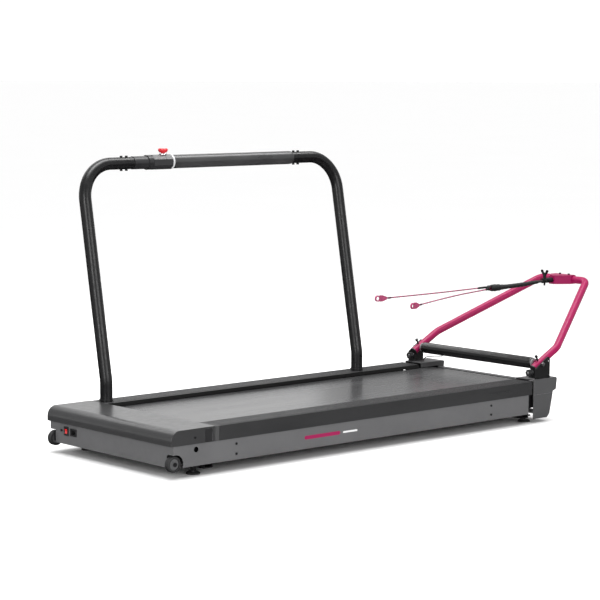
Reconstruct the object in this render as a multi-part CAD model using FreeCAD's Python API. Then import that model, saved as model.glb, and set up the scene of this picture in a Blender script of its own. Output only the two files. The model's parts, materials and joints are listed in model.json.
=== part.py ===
import FreeCAD, Part
import math
import os

# Flat motor-driven treadmill: a long low deck with a leaning handrail along the far side and a
# tilting tether frame at the front. Millimetres. Every function below works in deck coordinates:
# x runs from the rear edge of the rear cover to the front, y from the right side to the left,
# handrail side, and z up from the floor. save() moves each piece so that the origin lies at the
# bottom centre of the whole machine.

V = FreeCAD.Vector
X_AXIS = V(1, 0, 0)
Y_AXIS = V(0, 1, 0)
Z_AXIS = V(0, 0, 1)

# ---- overall base -------------------------------------------------------------------------
base_length = 1884.0         # rear edge of the rear cover to the front end of the step rails
base_width = 764.0
deck_height = 177.0          # top of the step rails above the floor
lip_depth = 56.0             # how far the top covers reach down the sides
cover_wall = 3.0             # moulded covers
sheet = 2.0                  # sheet steel skirts and end panel
clear = 1.0                  # gap between neighbouring fixed pieces
run_gap = 3.0                # gap beside anything that turns

# ---- running surface ----------------------------------------------------------------------
rail_width = 102.0
rail_rib_pitch = 8.0
rail_rib_height = 1.6
rail_corner = 10.0           # rounding of the step rails' front top corner
belt_thickness = 2.4
belt_top = deck_height - 19.0
roller_radius = 38.0
belt_overlap = 6.0           # belt edge hidden under each step rail
deck_thickness = 18.0
deck_side = 8.0              # deck board beyond each belt edge

# ---- rear end -----------------------------------------------------------------------------
rear_radius = 38.0
cover_flat_end = 200.0
cover_nose_x = 244.0
panel_setback = 12.0         # end panel behind the rear cover's lip
skirt_bottom = deck_height - 136.0
skirt_front = base_length - 18.0
drive_roller_x = 205.0
motor_x = 88.0
motor_z = deck_height - 71.0
motor_radius = 50.0
motor_length = 190.0
roller_pulley_radius = 46.0
motor_pulley_radius = 22.0
pulley_width = 20.0

# ---- front end ----------------------------------------------------------------------------
front_roller_x = base_length + 74.0
front_cover_gap = 16.0       # step rail end to the front cover
front_cover_length = 139.0
front_cover_bottom = 17.0
front_cover_rise = 4.0       # top of the front cover above the step rails
front_lip_depth = 50.0
front_crease_z = 117.0
front_lean = 44.0            # how far the front face slopes back at its foot

# ---- frame --------------------------------------------------------------------------------
beam_inset = 20.0
beam_depth = 80.0
beam_bottom = deck_height - 115.0
beam_flange = 34.0
beam_wall = 3.0
foot_inset = 60.0
rear_foot_x = 146.0
front_foot_x = base_length + 16.0
foot_tube = 40.0
foot_wall = 3.0
foot_pad_radius = 26.0
foot_pad_height = 10.0
foot_stud_radius = 6.0
cross_first_x = 320.0
cross_count = 5
cross_width = 40.0
cross_depth = 34.0
cross_wall = 3.0
cushion_radius = 15.0
cushion_height = 12.0

# ---- transport wheels ---------------------------------------------------------------------
wheel_radius = 29.0
wheel_width = 22.0
wheel_x = 22.0
wheel_z = 55.0
wheel_axle_radius = 5.0
wheel_notch = 34.0           # clear height over the axle in the end panel
wheel_side_gap = 6.0         # skirt's outside face to the wheel

# ---- handrail -----------------------------------------------------------------------------
rail_tube_radius = 24.15
rail_tube_wall = 2.5
post_y = base_width - 62.0
rear_post_x = 232.0
post_spacing = 1317.0
bar_height = 1083.0
rail_out = 153.0             # top bar outside the posts' feet
knee_height = 78.0           # upright foot of each post above the step rail, before it leans out
knee_radius = 130.0
bend_radius = 138.0
sleeve_length = 104.0        # straight end of each post beyond its bend
spigot = 66.0                # bar's end inside each post
post_foot = 6.0              # thickness of the posts' foot plates
rear_bolt_inset = 26.0       # post's end to its first through bolt
front_bolt_inset = 13.0
bolt_spacing = 25.0
bolt_radius = 3.0
grip_radius = 27.5
collar_length = 91.0         # from the rear post's end
estop_length = 95.0
estop_centre = 64.0          # housing's rear end to the stop button
bright_ring_length = 8.0
bright_ring_radius = 29.5
estop_head_radius = 20.0
estop_stem_radius = 8.0
estop_travel = 4.0

# ---- tether frame -------------------------------------------------------------------------
plate_thickness = 5.0
plate_length = 88.0
plate_start = base_length + 26.0
plate_rise = 92.0            # top corner of the upright plates above the deck
plate_slant = 46.0           # rear edge of the plates below that corner
pivot_x = plate_start + 43.0
pivot_z = deck_height + 63.0
pivot_radius = 5.0
index_hole_x = plate_start + 80.0
index_hole_z = deck_height + 74.0
index_hole_radius = 4.0
flange_width = 39.0
arm_radius = 16.0
arm_wall = 2.5
arm_y = 30.0
arm_slope = 28.2             # degrees above level
arm_tail = 35.0              # arm behind its pivot
lower_bend = 126.0           # pivot to the lower bend, along the arm
arm_reach = 620.0            # pivot to the head tube, along the slope
head_half_gap = 131.0        # head tube corner to the centre plane
lower_bend_radius = 70.0
upper_bend_radius = 45.0
cross_bar_radius = 14.0
foam_radius = 24.0
knob_radius = 15.0
knob_length = 18.0
knob_stud_radius = 4.0
knob_z = deck_height + 30.0
stop_pin_radius = 4.0
stop_pin_height = 16.0       # pull pin's knob above the arm

# ---- tether -------------------------------------------------------------------------------
head_half_width = 60.0
head_wall = 20.0             # head beyond the tube's middle, up and down
nose_half_width = 17.0
coupling_radius = 11.0
coupling_grip = 24.0         # coupling inside the head's nose
nose_reach = 47.0            # wing bolt to the nose
wing_bolt_reach = 126.0      # head tube to the wing bolt
wing_stem_radius = 4.0
wing_span = 18.0             # each wing's tip beyond the bolt's axis
strap_length = 296.0         # wing bolt to the start of the loop
loop_length = 66.0
cord_run = 504.0             # loop's end to the hook
cord_radius = 3.0
cable_radius = 2.0
hook_spread = 95.0           # hook to the centre plane
hook_drop_near = 38.0
hook_drop_far = 25.0
hook_width = 26.0
hook_thickness = 7.0

# ---- electrics and screws -----------------------------------------------------------------
switch_inset = 108.0         # left side to the switch
switch_z = 92.0
switch_width = 28.0
switch_height = 34.0
rocker_half_width = 7.0
rocker_half_height = 11.0
rocker_gap = 0.4
rocker_pin_radius = 1.5
rocker_pivot_x = panel_setback + 12.0
bezel_proud = 2.5
inlet_inset = 153.0
inlet_z = 91.0
inlet_width = 40.0
inlet_height = 28.0
breaker_inset = 78.0
breaker_radius = 5.0
breaker_travel = 3.0
panel_screw_z = 131.0
side_hole_x = 115.5
side_hole_z = 100.0
side_hole_radius = 10.5
lip_screw_x = 108.0
lip_screw_z = 144.0
screw_radius = 2.5
screw_head_radius = 4.5
slot_start = base_length - 257.0
slot_length = 122.0
slot_z = 148.0
skirt_y = 3.0

# ---- running fits -------------------------------------------------------------------------
shaft_radius = 10.0
bearing_radius = 17.5
running_fit = 0.03           # radial, shaft in bore
belt_play = 0.3              # belt to roller, all round
post_socket_gap = 1.5        # step rail's hole round a post

# ---- sizes that follow --------------------------------------------------------------------
mid_y = base_width / 2.0
lip_bottom = deck_height - lip_depth
belt_inner_top = belt_top - belt_thickness
roller_z = belt_inner_top - roller_radius
belt_outer_radius = roller_radius + belt_thickness
belt_near = rail_width - belt_overlap
belt_far = base_width - belt_near
beam_top = beam_bottom + beam_depth
beam_inner = beam_inset + beam_flange
front_x = base_length + front_cover_gap
front_top = deck_height + front_cover_rise
front_end = front_x + front_cover_length
beam_start = wheel_x + wheel_radius + 10.0
beam_end = front_roller_x + 34.0
slope = math.radians(arm_slope)
knee_z = deck_height + knee_height
bar_y = post_y + rail_out
front_post_x = rear_post_x + post_spacing
bar_start_x = rear_post_x + bend_radius + sleeve_length
bar_end_x = front_post_x - bend_radius - sleeve_length
estop_start = bar_start_x + clear + collar_length
estop_end = estop_start + estop_length
estop_x = estop_start + estop_centre
grip_start = estop_end + bright_ring_length + 2 * clear
grip_end = bar_end_x - 3 * clear
head_x = pivot_x + arm_reach * math.cos(slope)
head_z = pivot_z + arm_reach * math.sin(slope)
wing_bolt_x = head_x - wing_bolt_reach
nose_end = wing_bolt_x + nose_reach
strap_end_x = wing_bolt_x - strap_length
loop_end_x = strap_end_x - loop_length
hook_x = loop_end_x - cord_run
switch_y = base_width - switch_inset
inlet_y = base_width - inlet_inset
breaker_y = base_width - breaker_inset
panel_screws_y = [76.0, mid_y + 15.0, base_width - 48.0]
skirt_screw_rows = (skirt_bottom + 59.0, skirt_bottom + 22.0)
skirt_screws = [(x, z) for x in (302.0, skirt_front - 223.0) for z in skirt_screw_rows]
deck_bottom = belt_inner_top - 0.4 * clear - deck_thickness
cross_top = deck_bottom - cushion_height
cross_pitch = (front_roller_x - 138.0 - cross_first_x) / (cross_count - 1)
cross_positions = [cross_first_x + cross_pitch * k for k in range(cross_count)]
foot_plate_z = beam_bottom - foot_tube + foot_wall
foot_top = beam_bottom - 4.0
pulley_y = beam_inner + 10.0
motor_near = pulley_y + pulley_width + 34.0
plate_y = skirt_y + cover_wall + clear
cross_bar_start = arm_y + arm_radius + 3.0
foam_start = cross_bar_start + 12.0
wheel_y = skirt_y + wheel_side_gap
estop_collar_top = bar_height + grip_radius + 4.5
x_low = wheel_x - wheel_radius
x_high = head_x + arm_radius
y_low = 0.0
y_high = bar_y + grip_radius + clear
ORIGIN = V((x_low + x_high) / 2.0, (y_low + y_high) / 2.0, 0.0)

PARTS = []


def save(name, shape):
    """Write one sub-part in the part's own frame."""
    placed = shape.copy()
    placed.translate(V(-ORIGIN.x, -ORIGIN.y, -ORIGIN.z))
    placed.exportStep("parts/" + name + ".step")
    PARTS.append((name, placed))


def box(x0, x1, y0, y1, z0, z1):
    return Part.makeBox(x1 - x0, y1 - y0, z1 - z0, V(x0, y0, z0))


def cylinder(radius, start, length, axis):
    return Part.makeCylinder(radius, length, start, axis)


def ring(outer, inner, start, length, axis):
    return cylinder(outer, start, length, axis).cut(cylinder(inner, start, length, axis))


def across(points, y0, y1):
    """A closed outline of (x, z) points, extruded across the machine from y0 to y1."""
    corners = [V(x, y0, z) for x, z in points]
    face = Part.Face(Part.makePolygon(corners + [corners[0]]))
    return face.extrude(V(0, y1 - y0, 0))


def along(points, x0, x1):
    """A closed outline of (y, z) points, extruded along the machine from x0 to x1."""
    corners = [V(x0, y, z) for y, z in points]
    face = Part.Face(Part.makePolygon(corners + [corners[0]]))
    return face.extrude(V(x1 - x0, 0, 0))


def other_side(shape):
    """The same piece on the other side of the centre plane."""
    return shape.mirror(V(0, mid_y, 0), Y_AXIS)


def both_sides(shape):
    return Part.makeCompound([shape, other_side(shape)])


def hexagon(radius, start, height, axis):
    """A hexagonal prism; radius is to its corners."""
    side = V(0, 0, 1) if abs(axis.z) < 0.5 else V(1, 0, 0)
    third = axis.cross(side)
    corners = []
    for k in range(6):
        turn = math.radians(60 * k)
        corners.append(start + side * (radius * math.cos(turn)) + third * (radius * math.sin(turn)))
    face = Part.Face(Part.makePolygon(corners + [corners[0]]))
    return face.extrude(axis * height)


def rounded_route(points, radii):
    """Straight runs through points, joined by tangent arcs of the given radii."""
    edges = []
    start = points[0]
    for k in range(1, len(points) - 1):
        corner = points[k]
        back = (points[k - 1] - corner).normalize()
        ahead = (points[k + 1] - corner).normalize()
        half = back.getAngle(ahead) / 2.0
        cut = radii[k - 1] / math.tan(half)
        first = corner + back * cut
        last = corner + ahead * cut
        bisector = (back + ahead).normalize()
        middle = corner + bisector * (radii[k - 1] / math.sin(half) - radii[k - 1])
        edges.append(Part.LineSegment(start, first).toShape())
        edges.append(Part.Arc(first, middle, last).toShape())
        start = last
    edges.append(Part.LineSegment(start, points[-1]).toShape())
    return Part.Wire(edges)


def sweep(wire, radius):
    """A round bar along a wire."""
    first = wire.Edges[0]
    start = first.valueAt(first.FirstParameter)
    direction = first.tangentAt(first.FirstParameter)
    profile = Part.Wire(Part.makeCircle(radius, start, direction))
    return wire.makePipeShell([profile], True, False)


def bent_tube(points, radii, outer, wall):
    """A hollow round tube along straight runs and bends, open at both ends."""
    wire = rounded_route(points, radii)
    return sweep(wire, outer).cut(sweep(wire, outer - wall))


# ---- frame --------------------------------------------------------------------------------
def side_beams():
    """Folded channel beams along both sides, bored for the rollers and the cross members."""
    outer = box(beam_start, beam_end, beam_inset, beam_inner, beam_bottom, beam_top)
    hollow = box(beam_start, beam_end, beam_inset + beam_wall, beam_inner,
                 beam_bottom + beam_wall, beam_top - beam_wall)
    channel = outer.cut(hollow)
    drive_hole = cylinder(bearing_radius + clear, V(drive_roller_x, 0, roller_z), 100.0, Y_AXIS)
    shaft_hole = cylinder(shaft_radius, V(front_roller_x, 0, roller_z), 100.0, Y_AXIS)
    return both_sides(channel.cut(drive_hole).cut(shaft_hole))


def cross_member_bar(x):
    """A tube between the beams' webs, passing between the belt's two runs."""
    near = beam_inset + beam_wall
    half = cross_width / 2.0
    outer = box(x - half, x + half, near, base_width - near, cross_top - cross_depth, cross_top)
    inner = box(x - half + cross_wall, x + half - cross_wall, near, base_width - near,
                cross_top - cross_depth + cross_wall, cross_top - cross_wall)
    return outer.cut(inner)


def foot_crossing(foot_x, toward):
    """A square tube under the beams, with a plate at each end that a levelling foot screws into.

    toward is +1 where the tube lies in front of its feet and -1 where it lies behind them.
    """
    y0 = beam_inset
    y1 = base_width - beam_inset
    middle = foot_x + toward * (17.0 + foot_tube / 2.0)
    half = foot_tube / 2.0
    tube = box(middle - half, middle + half, y0, y1, beam_bottom - foot_tube, beam_bottom)
    bore = box(middle - half + foot_wall, middle + half - foot_wall, y0, y1,
               beam_bottom - foot_tube + foot_wall, beam_bottom - foot_wall)
    shape = tube.cut(bore)
    for y in (foot_inset, base_width - foot_inset):
        plate = box(foot_x - 19.0, foot_x + 19.0, y - 20.0, y + 20.0, foot_plate_z, foot_plate_z + 5.0)
        hole = cylinder(foot_stud_radius + running_fit, V(foot_x, y, foot_plate_z - 1.0), 7.0, Z_AXIS)
        shape = shape.fuse(plate).cut(hole)
    return shape


def cross_members():
    bars = [cross_member_bar(x) for x in cross_positions]
    bars.append(foot_crossing(rear_foot_x, 1.0))
    bars.append(foot_crossing(front_foot_x, -1.0))
    return Part.makeCompound(bars)


def deck_board():
    x0 = drive_roller_x + roller_radius + 14.0
    x1 = front_roller_x - roller_radius - 14.0
    y0 = belt_near - deck_side
    return box(x0, x1, y0, base_width - y0, deck_bottom, deck_bottom + deck_thickness)


def deck_cushions():
    """Rubber blocks between the cross members and the deck board."""
    blocks = []
    for x in cross_positions:
        for y in (belt_near + 14.0, belt_far - 14.0):
            blocks.append(cylinder(cushion_radius, V(x, y, cross_top), cushion_height, Z_AXIS))
    return Part.makeCompound(blocks)


# ---- belt and drive -----------------------------------------------------------------------
def belt_loop(x0, r0, x1, r1, z0, z1, thickness, y0, y1):
    """An open belt around two pulleys on parallel axles."""
    def outline(grow):
        a = r0 + grow
        b = r1 + grow
        span = math.hypot(x1 - x0, z1 - z0)
        tilt = math.atan2(z1 - z0, x1 - x0)
        spread = math.acos((a - b) / span)
        edges = []
        up = tilt + spread
        down = tilt - spread
        a_up = V(x0 + a * math.cos(up), y0, z0 + a * math.sin(up))
        a_down = V(x0 + a * math.cos(down), y0, z0 + a * math.sin(down))
        a_back = V(x0 - a * math.cos(tilt), y0, z0 - a * math.sin(tilt))
        b_up = V(x1 + b * math.cos(up), y0, z1 + b * math.sin(up))
        b_down = V(x1 + b * math.cos(down), y0, z1 + b * math.sin(down))
        b_front = V(x1 + b * math.cos(tilt), y0, z1 + b * math.sin(tilt))
        edges.append(Part.Arc(a_down, a_back, a_up).toShape())
        edges.append(Part.LineSegment(a_up, b_up).toShape())
        edges.append(Part.Arc(b_up, b_front, b_down).toShape())
        edges.append(Part.LineSegment(b_down, a_down).toShape())
        return Part.Face(Part.Wire(edges)).extrude(V(0, y1 - y0, 0))
    return outline(thickness).cut(outline(0.0))


def running_belt():
    r = roller_radius + belt_play
    return belt_loop(drive_roller_x, r, front_roller_x, r, roller_z, roller_z,
                     belt_thickness, belt_near, belt_far)


def drive_roller():
    """The powered roller: a capped drum on a shaft that turns in the side beams."""
    y0 = belt_near - 2.0
    y1 = belt_far + 2.0
    drum = ring(roller_radius, roller_radius - 4.0, V(drive_roller_x, y0, roller_z), y1 - y0, Y_AXIS)
    shape = drum
    for y in (y0, y1 - 12.0):
        shape = shape.fuse(cylinder(roller_radius, V(drive_roller_x, y, roller_z), 12.0, Y_AXIS))
    shaft_end = beam_inset - 4.0
    shaft = cylinder(shaft_radius, V(drive_roller_x, shaft_end, roller_z),
                     base_width - 2 * shaft_end, Y_AXIS)
    return shape.fuse(shaft)


def roller_bearings():
    """Bearings: two in the beams for the drive roller, two inside the front roller's ends."""
    inset = beam_inset - clear
    drive = ring(bearing_radius, shaft_radius + running_fit, V(drive_roller_x, inset, roller_z), 14.0, Y_AXIS)
    housing = ring(bearing_radius + 3.5, bearing_radius,
                   V(drive_roller_x, beam_inset + beam_wall, roller_z), 10.0, Y_AXIS)
    front = ring(bearing_radius, shaft_radius, V(front_roller_x, belt_near, roller_z), 14.0, Y_AXIS)
    return Part.makeCompound([drive.fuse(housing), other_side(drive.fuse(housing)), front, other_side(front)])


def grooved_pulley(x, z, radius, bore):
    """A poly-V pulley with a plain rim each side."""
    shape = ring(radius, bore, V(x, pulley_y, z), pulley_width, Y_AXIS)
    for y in (pulley_y - 2.0, pulley_y + pulley_width):
        shape = shape.fuse(ring(radius + 3.0, bore, V(x, y, z), 2.0, Y_AXIS))
    return shape


def roller_pulley():
    return grooved_pulley(drive_roller_x, roller_z, roller_pulley_radius, shaft_radius)


def motor_pulley():
    """Motor pulley with the motor's output shaft."""
    wheel = grooved_pulley(motor_x, motor_z, motor_pulley_radius, 7.0)
    shaft = cylinder(7.0, V(motor_x, pulley_y - 4.0, motor_z), motor_near - pulley_y + 4.0 + 12.0, Y_AXIS)
    return wheel.fuse(shaft)


def drive_belt():
    return belt_loop(motor_x, motor_pulley_radius + belt_play, drive_roller_x,
                     roller_pulley_radius + belt_play, motor_z, roller_z, 2.2,
                     pulley_y + 1.0, pulley_y + pulley_width - 1.0)


def drive_motor():
    """Direct-current motor with end bells, a cooling fan housing and a bored nose."""
    body = cylinder(motor_radius, V(motor_x, motor_near, motor_z), motor_length, Y_AXIS)
    bell = cylinder(motor_radius - 4.0, V(motor_x, motor_near + motor_length, motor_z), 22.0, Y_AXIS)
    nose = cylinder(18.0, V(motor_x, motor_near - 8.0, motor_z), 8.0, Y_AXIS)
    bore = cylinder(7.0 + running_fit, V(motor_x, motor_near - 10.0, motor_z), 26.0, Y_AXIS)
    return body.fuse(bell).fuse(nose).cut(bore)


def motor_mount():
    """A cradle plate across the frame with a saddle under the motor."""
    y0 = motor_near + 20.0
    y1 = motor_near + motor_length - 20.0
    plate_top = motor_z - motor_radius - 2.0
    plate = box(panel_setback + sheet + 20.0, rear_foot_x + 17.0, y0, y1, plate_top - 4.0, plate_top)
    saddle = box(motor_x - 34.0, motor_x + 34.0, y0 + 20.0, y1 - 20.0, plate_top, motor_z - 30.0)
    hollow = cylinder(motor_radius, V(motor_x, y0, motor_z), y1 - y0, Y_AXIS)
    return plate.fuse(saddle.cut(hollow))


def motor_controller():
    """Drive electronics in a finned box."""
    y0 = motor_near + motor_length + 60.0
    y1 = y0 + 170.0
    shape = box(44.0, 132.0, y0, y1, 58.0, 112.0)
    for k in range(9):
        x = 48.0 + 9.5 * k
        shape = shape.fuse(box(x, x + 3.0, y0 + 6.0, y1 - 6.0, 112.0, 128.0))
    return shape


def front_roller():
    """The idler roller: a tube with end blocks bored for its bearings."""
    y0 = belt_near - 2.0
    y1 = belt_far + 2.0
    shape = ring(roller_radius, roller_radius - 4.0, V(front_roller_x, y0, roller_z), y1 - y0, Y_AXIS)
    for y in (y0, y1 - 17.0):
        block = ring(roller_radius, bearing_radius + running_fit, V(front_roller_x, y, roller_z), 17.0, Y_AXIS)
        shape = shape.fuse(block)
    return shape


def front_roller_shaft():
    y0 = beam_inset - 8.0
    return cylinder(shaft_radius, V(front_roller_x, y0, roller_z), base_width - 2 * y0, Y_AXIS)


# ---- covers -------------------------------------------------------------------------------
def rear_profile(inset, x_end, bottom):
    """Side outline of the rear cover, drawn inset from its outside face."""
    top = deck_height - inset
    radius = rear_radius - inset
    low = V(inset, 0, bottom)
    side = V(inset, 0, top - radius)
    knee = V(inset + radius * (1.0 - math.sqrt(0.5)), 0, top - radius * (1.0 - math.sqrt(0.5)))
    shoulder = V(inset + radius, 0, top)
    far_top = V(x_end, 0, top)
    far_low = V(x_end, 0, bottom)
    edges = [Part.LineSegment(low, side).toShape(), Part.Arc(side, knee, shoulder).toShape()]
    for a, b in ((shoulder, far_top), (far_top, far_low), (far_low, low)):
        edges.append(Part.LineSegment(a, b).toShape())
    return Part.Face(Part.Wire(edges))


def rear_cover():
    """Rounded rear cover with side lips and a nose that slopes down to the belt."""
    outside = rear_profile(0.0, cover_flat_end, lip_bottom).extrude(V(0, base_width, 0))
    inside = rear_profile(cover_wall, cover_flat_end, lip_bottom)
    inside.translate(V(0, cover_wall, 0))
    shape = outside.cut(inside.extrude(V(0, base_width - 2 * cover_wall, 0)))
    nose_top = belt_top + run_gap + cover_wall
    nose = [(cover_flat_end, deck_height), (cover_nose_x, nose_top), (cover_nose_x, nose_top - cover_wall),
            (cover_flat_end, deck_height - cover_wall)]
    shape = shape.fuse(across(nose, rail_width + clear, base_width - rail_width - clear))
    recess = box(154.0, 188.0, -1.0, 1.0, lip_bottom - 1.0, deck_height - 6.0)
    return shape.cut(recess).cut(other_side(recess)).removeSplitter()


def rear_end_panel():
    """Steel end panel with openings for the switch, inlet and breaker and notches for the wheels."""
    shape = box(panel_setback, panel_setback + sheet, skirt_y + sheet, base_width - skirt_y - sheet,
                skirt_bottom, lip_bottom + 26.0)
    foot = box(panel_setback, panel_setback + 18.0, 50.0, base_width - 50.0, skirt_bottom, skirt_bottom + sheet)
    shape = shape.fuse(foot)
    x0 = panel_setback - 1.0
    x1 = panel_setback + sheet + 1.0
    notch = box(x0, x1, 0.0, skirt_y + wheel_width + 12.0, 0.0, wheel_z + wheel_notch)
    shape = shape.cut(notch).cut(other_side(notch))
    shape = shape.cut(box(x0, x1, switch_y - switch_width / 2 + 3, switch_y + switch_width / 2 - 3,
                          switch_z - switch_height / 2 + 3, switch_z + switch_height / 2 - 3))
    shape = shape.cut(box(x0, x1, inlet_y - inlet_width / 2 + 4, inlet_y + inlet_width / 2 - 4,
                          inlet_z - inlet_height / 2 + 3, inlet_z + inlet_height / 2 - 3))
    shape = shape.cut(cylinder(breaker_radius, V(x0, breaker_y, switch_z), 5.0, X_AXIS))
    for y in panel_screws_y:
        shape = shape.cut(cylinder(screw_radius, V(x0, y, panel_screw_z), 5.0, X_AXIS))
    return shape


def side_skirts():
    """Flat steel skirts with a folded lower edge, a service hole and wheel corner notches."""
    y0 = skirt_y
    shape = box(panel_setback, skirt_front, y0, y0 + sheet, skirt_bottom, lip_bottom + 32.0)
    fold = box(wheel_x + wheel_radius + 20.0, skirt_front, y0, y0 + 14.0, skirt_bottom, skirt_bottom + sheet)
    shape = shape.fuse(fold)
    notch = cylinder(wheel_radius + 6.0, V(wheel_x, y0 - 1.0, wheel_z), sheet + 2.0, Y_AXIS)
    shape = shape.cut(notch)
    shape = shape.cut(cylinder(side_hole_radius, V(side_hole_x, y0 - 1.0, side_hole_z), 5.0, Y_AXIS))
    for x, z in skirt_screws:
        shape = shape.cut(cylinder(screw_radius, V(x, y0 - 1.0, z), 5.0, Y_AXIS))
    return both_sides(shape)


def rail_outline():
    """Section of the near step rail: ribbed tread, outer lip and inner wall."""
    tread = deck_height - rail_rib_height
    count = int((rail_width - 12.0) / rail_rib_pitch)
    points = [(0.0, lip_bottom), (0.0, tread)]
    for k in range(count):
        y = 6.0 + rail_rib_pitch * k
        points += [(y, tread), (y + 1.2, deck_height), (y + rail_rib_pitch - 3.2, deck_height),
                   (y + rail_rib_pitch - 2.0, tread)]
    inner_low = belt_top + run_gap
    points += [(rail_width, tread), (rail_width, inner_low), (rail_width - cover_wall, inner_low),
               (rail_width - cover_wall, tread - cover_wall), (cover_wall, tread - cover_wall),
               (cover_wall, lip_bottom)]
    return points


def step_rail():
    """Extruded step rail with a slot in its lip and a rounded front corner."""
    x0 = cover_flat_end + clear
    shape = along(rail_outline(), x0, base_length)
    groove = box(slot_start, slot_start + slot_length, -1.0, 1.0, slot_z, slot_z + 5.0)
    shape = shape.cut(groove)
    seam = box(219.0, 221.0, -1.0, 0.8, lip_bottom - 1.0, deck_height - 6.0)
    corner_x = base_length - rail_corner
    corner_z = deck_height - rail_corner
    corner = box(corner_x, base_length + 1.0, -1.0, rail_width + 1.0, corner_z, deck_height + 1.0)
    round_end = cylinder(rail_corner, V(corner_x, -1.0, corner_z), rail_width + 2.0, Y_AXIS)
    return shape.cut(seam).cut(corner.cut(round_end))


def step_rail_far():
    """The handrail-side rail, with clearance holes for the two posts."""
    shape = other_side(step_rail())
    for x in (rear_post_x, front_post_x):
        start = V(x, post_y, deck_height - 40.0)
        shape = shape.cut(cylinder(rail_tube_radius + post_socket_gap, start, 80.0, Z_AXIS))
    return shape


def front_outline(inset):
    """Side outline of the front cover, with the overhanging lip at the top of its front face.

    inset is the wall taken off on every side but the rear and the underside, which it opens.
    """
    open_by = 5.0 if inset else 0.0
    lip_z = front_top - front_lip_depth
    rear = front_x - 4.0 - open_by
    low = front_cover_bottom - open_by
    end = front_end - inset
    return [(rear, low), (rear, front_top - inset), (end - 6.0, front_top - inset),
            (end, front_top - 6.0 - inset), (end - 6.0, lip_z + inset), (end - 24.0, lip_z - 7.0 + inset),
            (end - front_lean, front_cover_bottom + 14.0), (end - front_lean - 16.0, low)]


def front_cover():
    """Front cover: closed corner towers, a lower middle, an open underside and low rear flanges."""
    y0 = skirt_y
    y1 = base_width - skirt_y
    shape = across(front_outline(0.0), y0, y1)
    inner = front_outline(cover_wall)
    low = belt_top - 4.0
    shape = shape.cut(across(inner, y0 + cover_wall, rail_width - cover_wall))
    shape = shape.cut(across(inner, base_width - rail_width + cover_wall, y1 - cover_wall))
    middle = across(inner, rail_width - cover_wall - 1.0, base_width - rail_width + cover_wall + 1.0)
    shape = shape.cut(middle.common(box(front_x - 20.0, front_end, y0, y1, 0.0, low - cover_wall)))
    shape = shape.cut(box(front_x - 20.0, front_end + 1.0, rail_width, base_width - rail_width, low, front_top + 1.0))
    throat = box(front_x - 20.0, front_roller_x + belt_outer_radius + run_gap, rail_width - 20.0,
                 base_width - rail_width + 20.0, 0.0, belt_top + run_gap)
    slot = box(plate_start - clear, plate_start + plate_length + clear, plate_y - clear * 0.5,
               plate_y + plate_thickness + clear, front_top - 10.0, front_top + 1.0)
    crease = box(front_x - 20.0, front_end, y0 - 1.0, y0 + 0.8, front_crease_z, front_crease_z + 1.2)
    for cutter in (throat, slot, other_side(slot), crease, other_side(crease)):
        shape = shape.cut(cutter)
    flange = box(front_x - 4.0, front_x - 4.0 + cover_wall, y0 + cover_wall / 2.0, y0 + 40.0, skirt_bottom,
                 beam_bottom - clear)
    return shape.fuse(flange).fuse(other_side(flange))


# ---- uprights and tether frame ------------------------------------------------------------
def upright_plate():
    """Upright plate with a slanted top, an index hole and an inward flange for the lock knob."""
    low = beam_bottom
    front = plate_start + plate_length
    top = deck_height + plate_rise
    outline = [(plate_start, low), (plate_start, top - plate_slant), (front - 14.0, top), (front - 5.0, top - 2.0),
               (front, top - 10.0), (front, low)]
    shape = across(outline, plate_y, plate_y + plate_thickness)
    flange = box(plate_start, plate_start + plate_thickness, plate_y, plate_y + flange_width,
                 deck_height + 8.0, knob_z + 9.0)
    spacer = box(plate_start, front, plate_y, beam_inset, beam_bottom, beam_top - 20.0)
    shape = shape.fuse(flange).fuse(spacer)
    shape = shape.cut(cylinder(pivot_radius + running_fit, V(pivot_x, 0, pivot_z), 40.0, Y_AXIS))
    shape = shape.cut(cylinder(index_hole_radius, V(index_hole_x, 0, index_hole_z), 40.0, Y_AXIS))
    shape = shape.cut(cylinder(knob_stud_radius + running_fit, V(plate_start - 5.0, arm_y, knob_z), 20.0, X_AXIS))
    shaft_clear = cylinder(shaft_radius + 2 * clear, V(front_roller_x, 0, roller_z), 40.0, Y_AXIS)
    return shape.cut(shaft_clear)


def lock_knob():
    """Lobed hand knob with a threaded stud, screwed through the upright's flange."""
    face = plate_start - run_gap
    back = face - knob_length
    body = cylinder(knob_radius - 2.0, V(back, arm_y, knob_z), knob_length, X_AXIS)
    lobe = knob_radius - 4.0
    for k in range(6):
        turn = math.radians(60 * k)
        centre = V(back, arm_y + lobe * math.cos(turn), knob_z + lobe * math.sin(turn))
        body = body.fuse(cylinder(4.0, centre, knob_length, X_AXIS))
    neck = cylinder(8.0, V(face, arm_y, knob_z), 2.5, X_AXIS)
    stud = cylinder(knob_stud_radius, V(face, arm_y, knob_z), 10.0, X_AXIS)
    return body.fuse(neck).fuse(stud)


def on_arm(distance, y):
    """A point on the tether frame's sloping plane, at a distance in front of the pivot."""
    return V(pivot_x + distance * math.cos(slope), y, pivot_z + distance * math.sin(slope))


def tether_arm():
    """Near half of the bent tether tube, from its open tail to the head's centre plane."""
    corner_y = mid_y - head_half_gap
    points = [on_arm(-arm_tail, arm_y), on_arm(lower_bend, arm_y), on_arm(arm_reach, corner_y),
              on_arm(arm_reach, mid_y - clear)]
    shape = bent_tube(points, [lower_bend_radius, upper_bend_radius], arm_radius, arm_wall)
    return shape.cut(cylinder(pivot_radius + running_fit, V(pivot_x, 0, pivot_z), 80.0, Y_AXIS))


def arm_end_plugs():
    """Black caps in the arms' tails."""
    axis = V(math.cos(slope), 0, math.sin(slope))
    start = on_arm(-arm_tail, arm_y)
    cap = cylinder(arm_radius, start - axis * 4.0, 4.0, axis)
    stem = cylinder(arm_radius - arm_wall, start, 8.0, axis)
    return both_sides(cap.fuse(stem))


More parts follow.
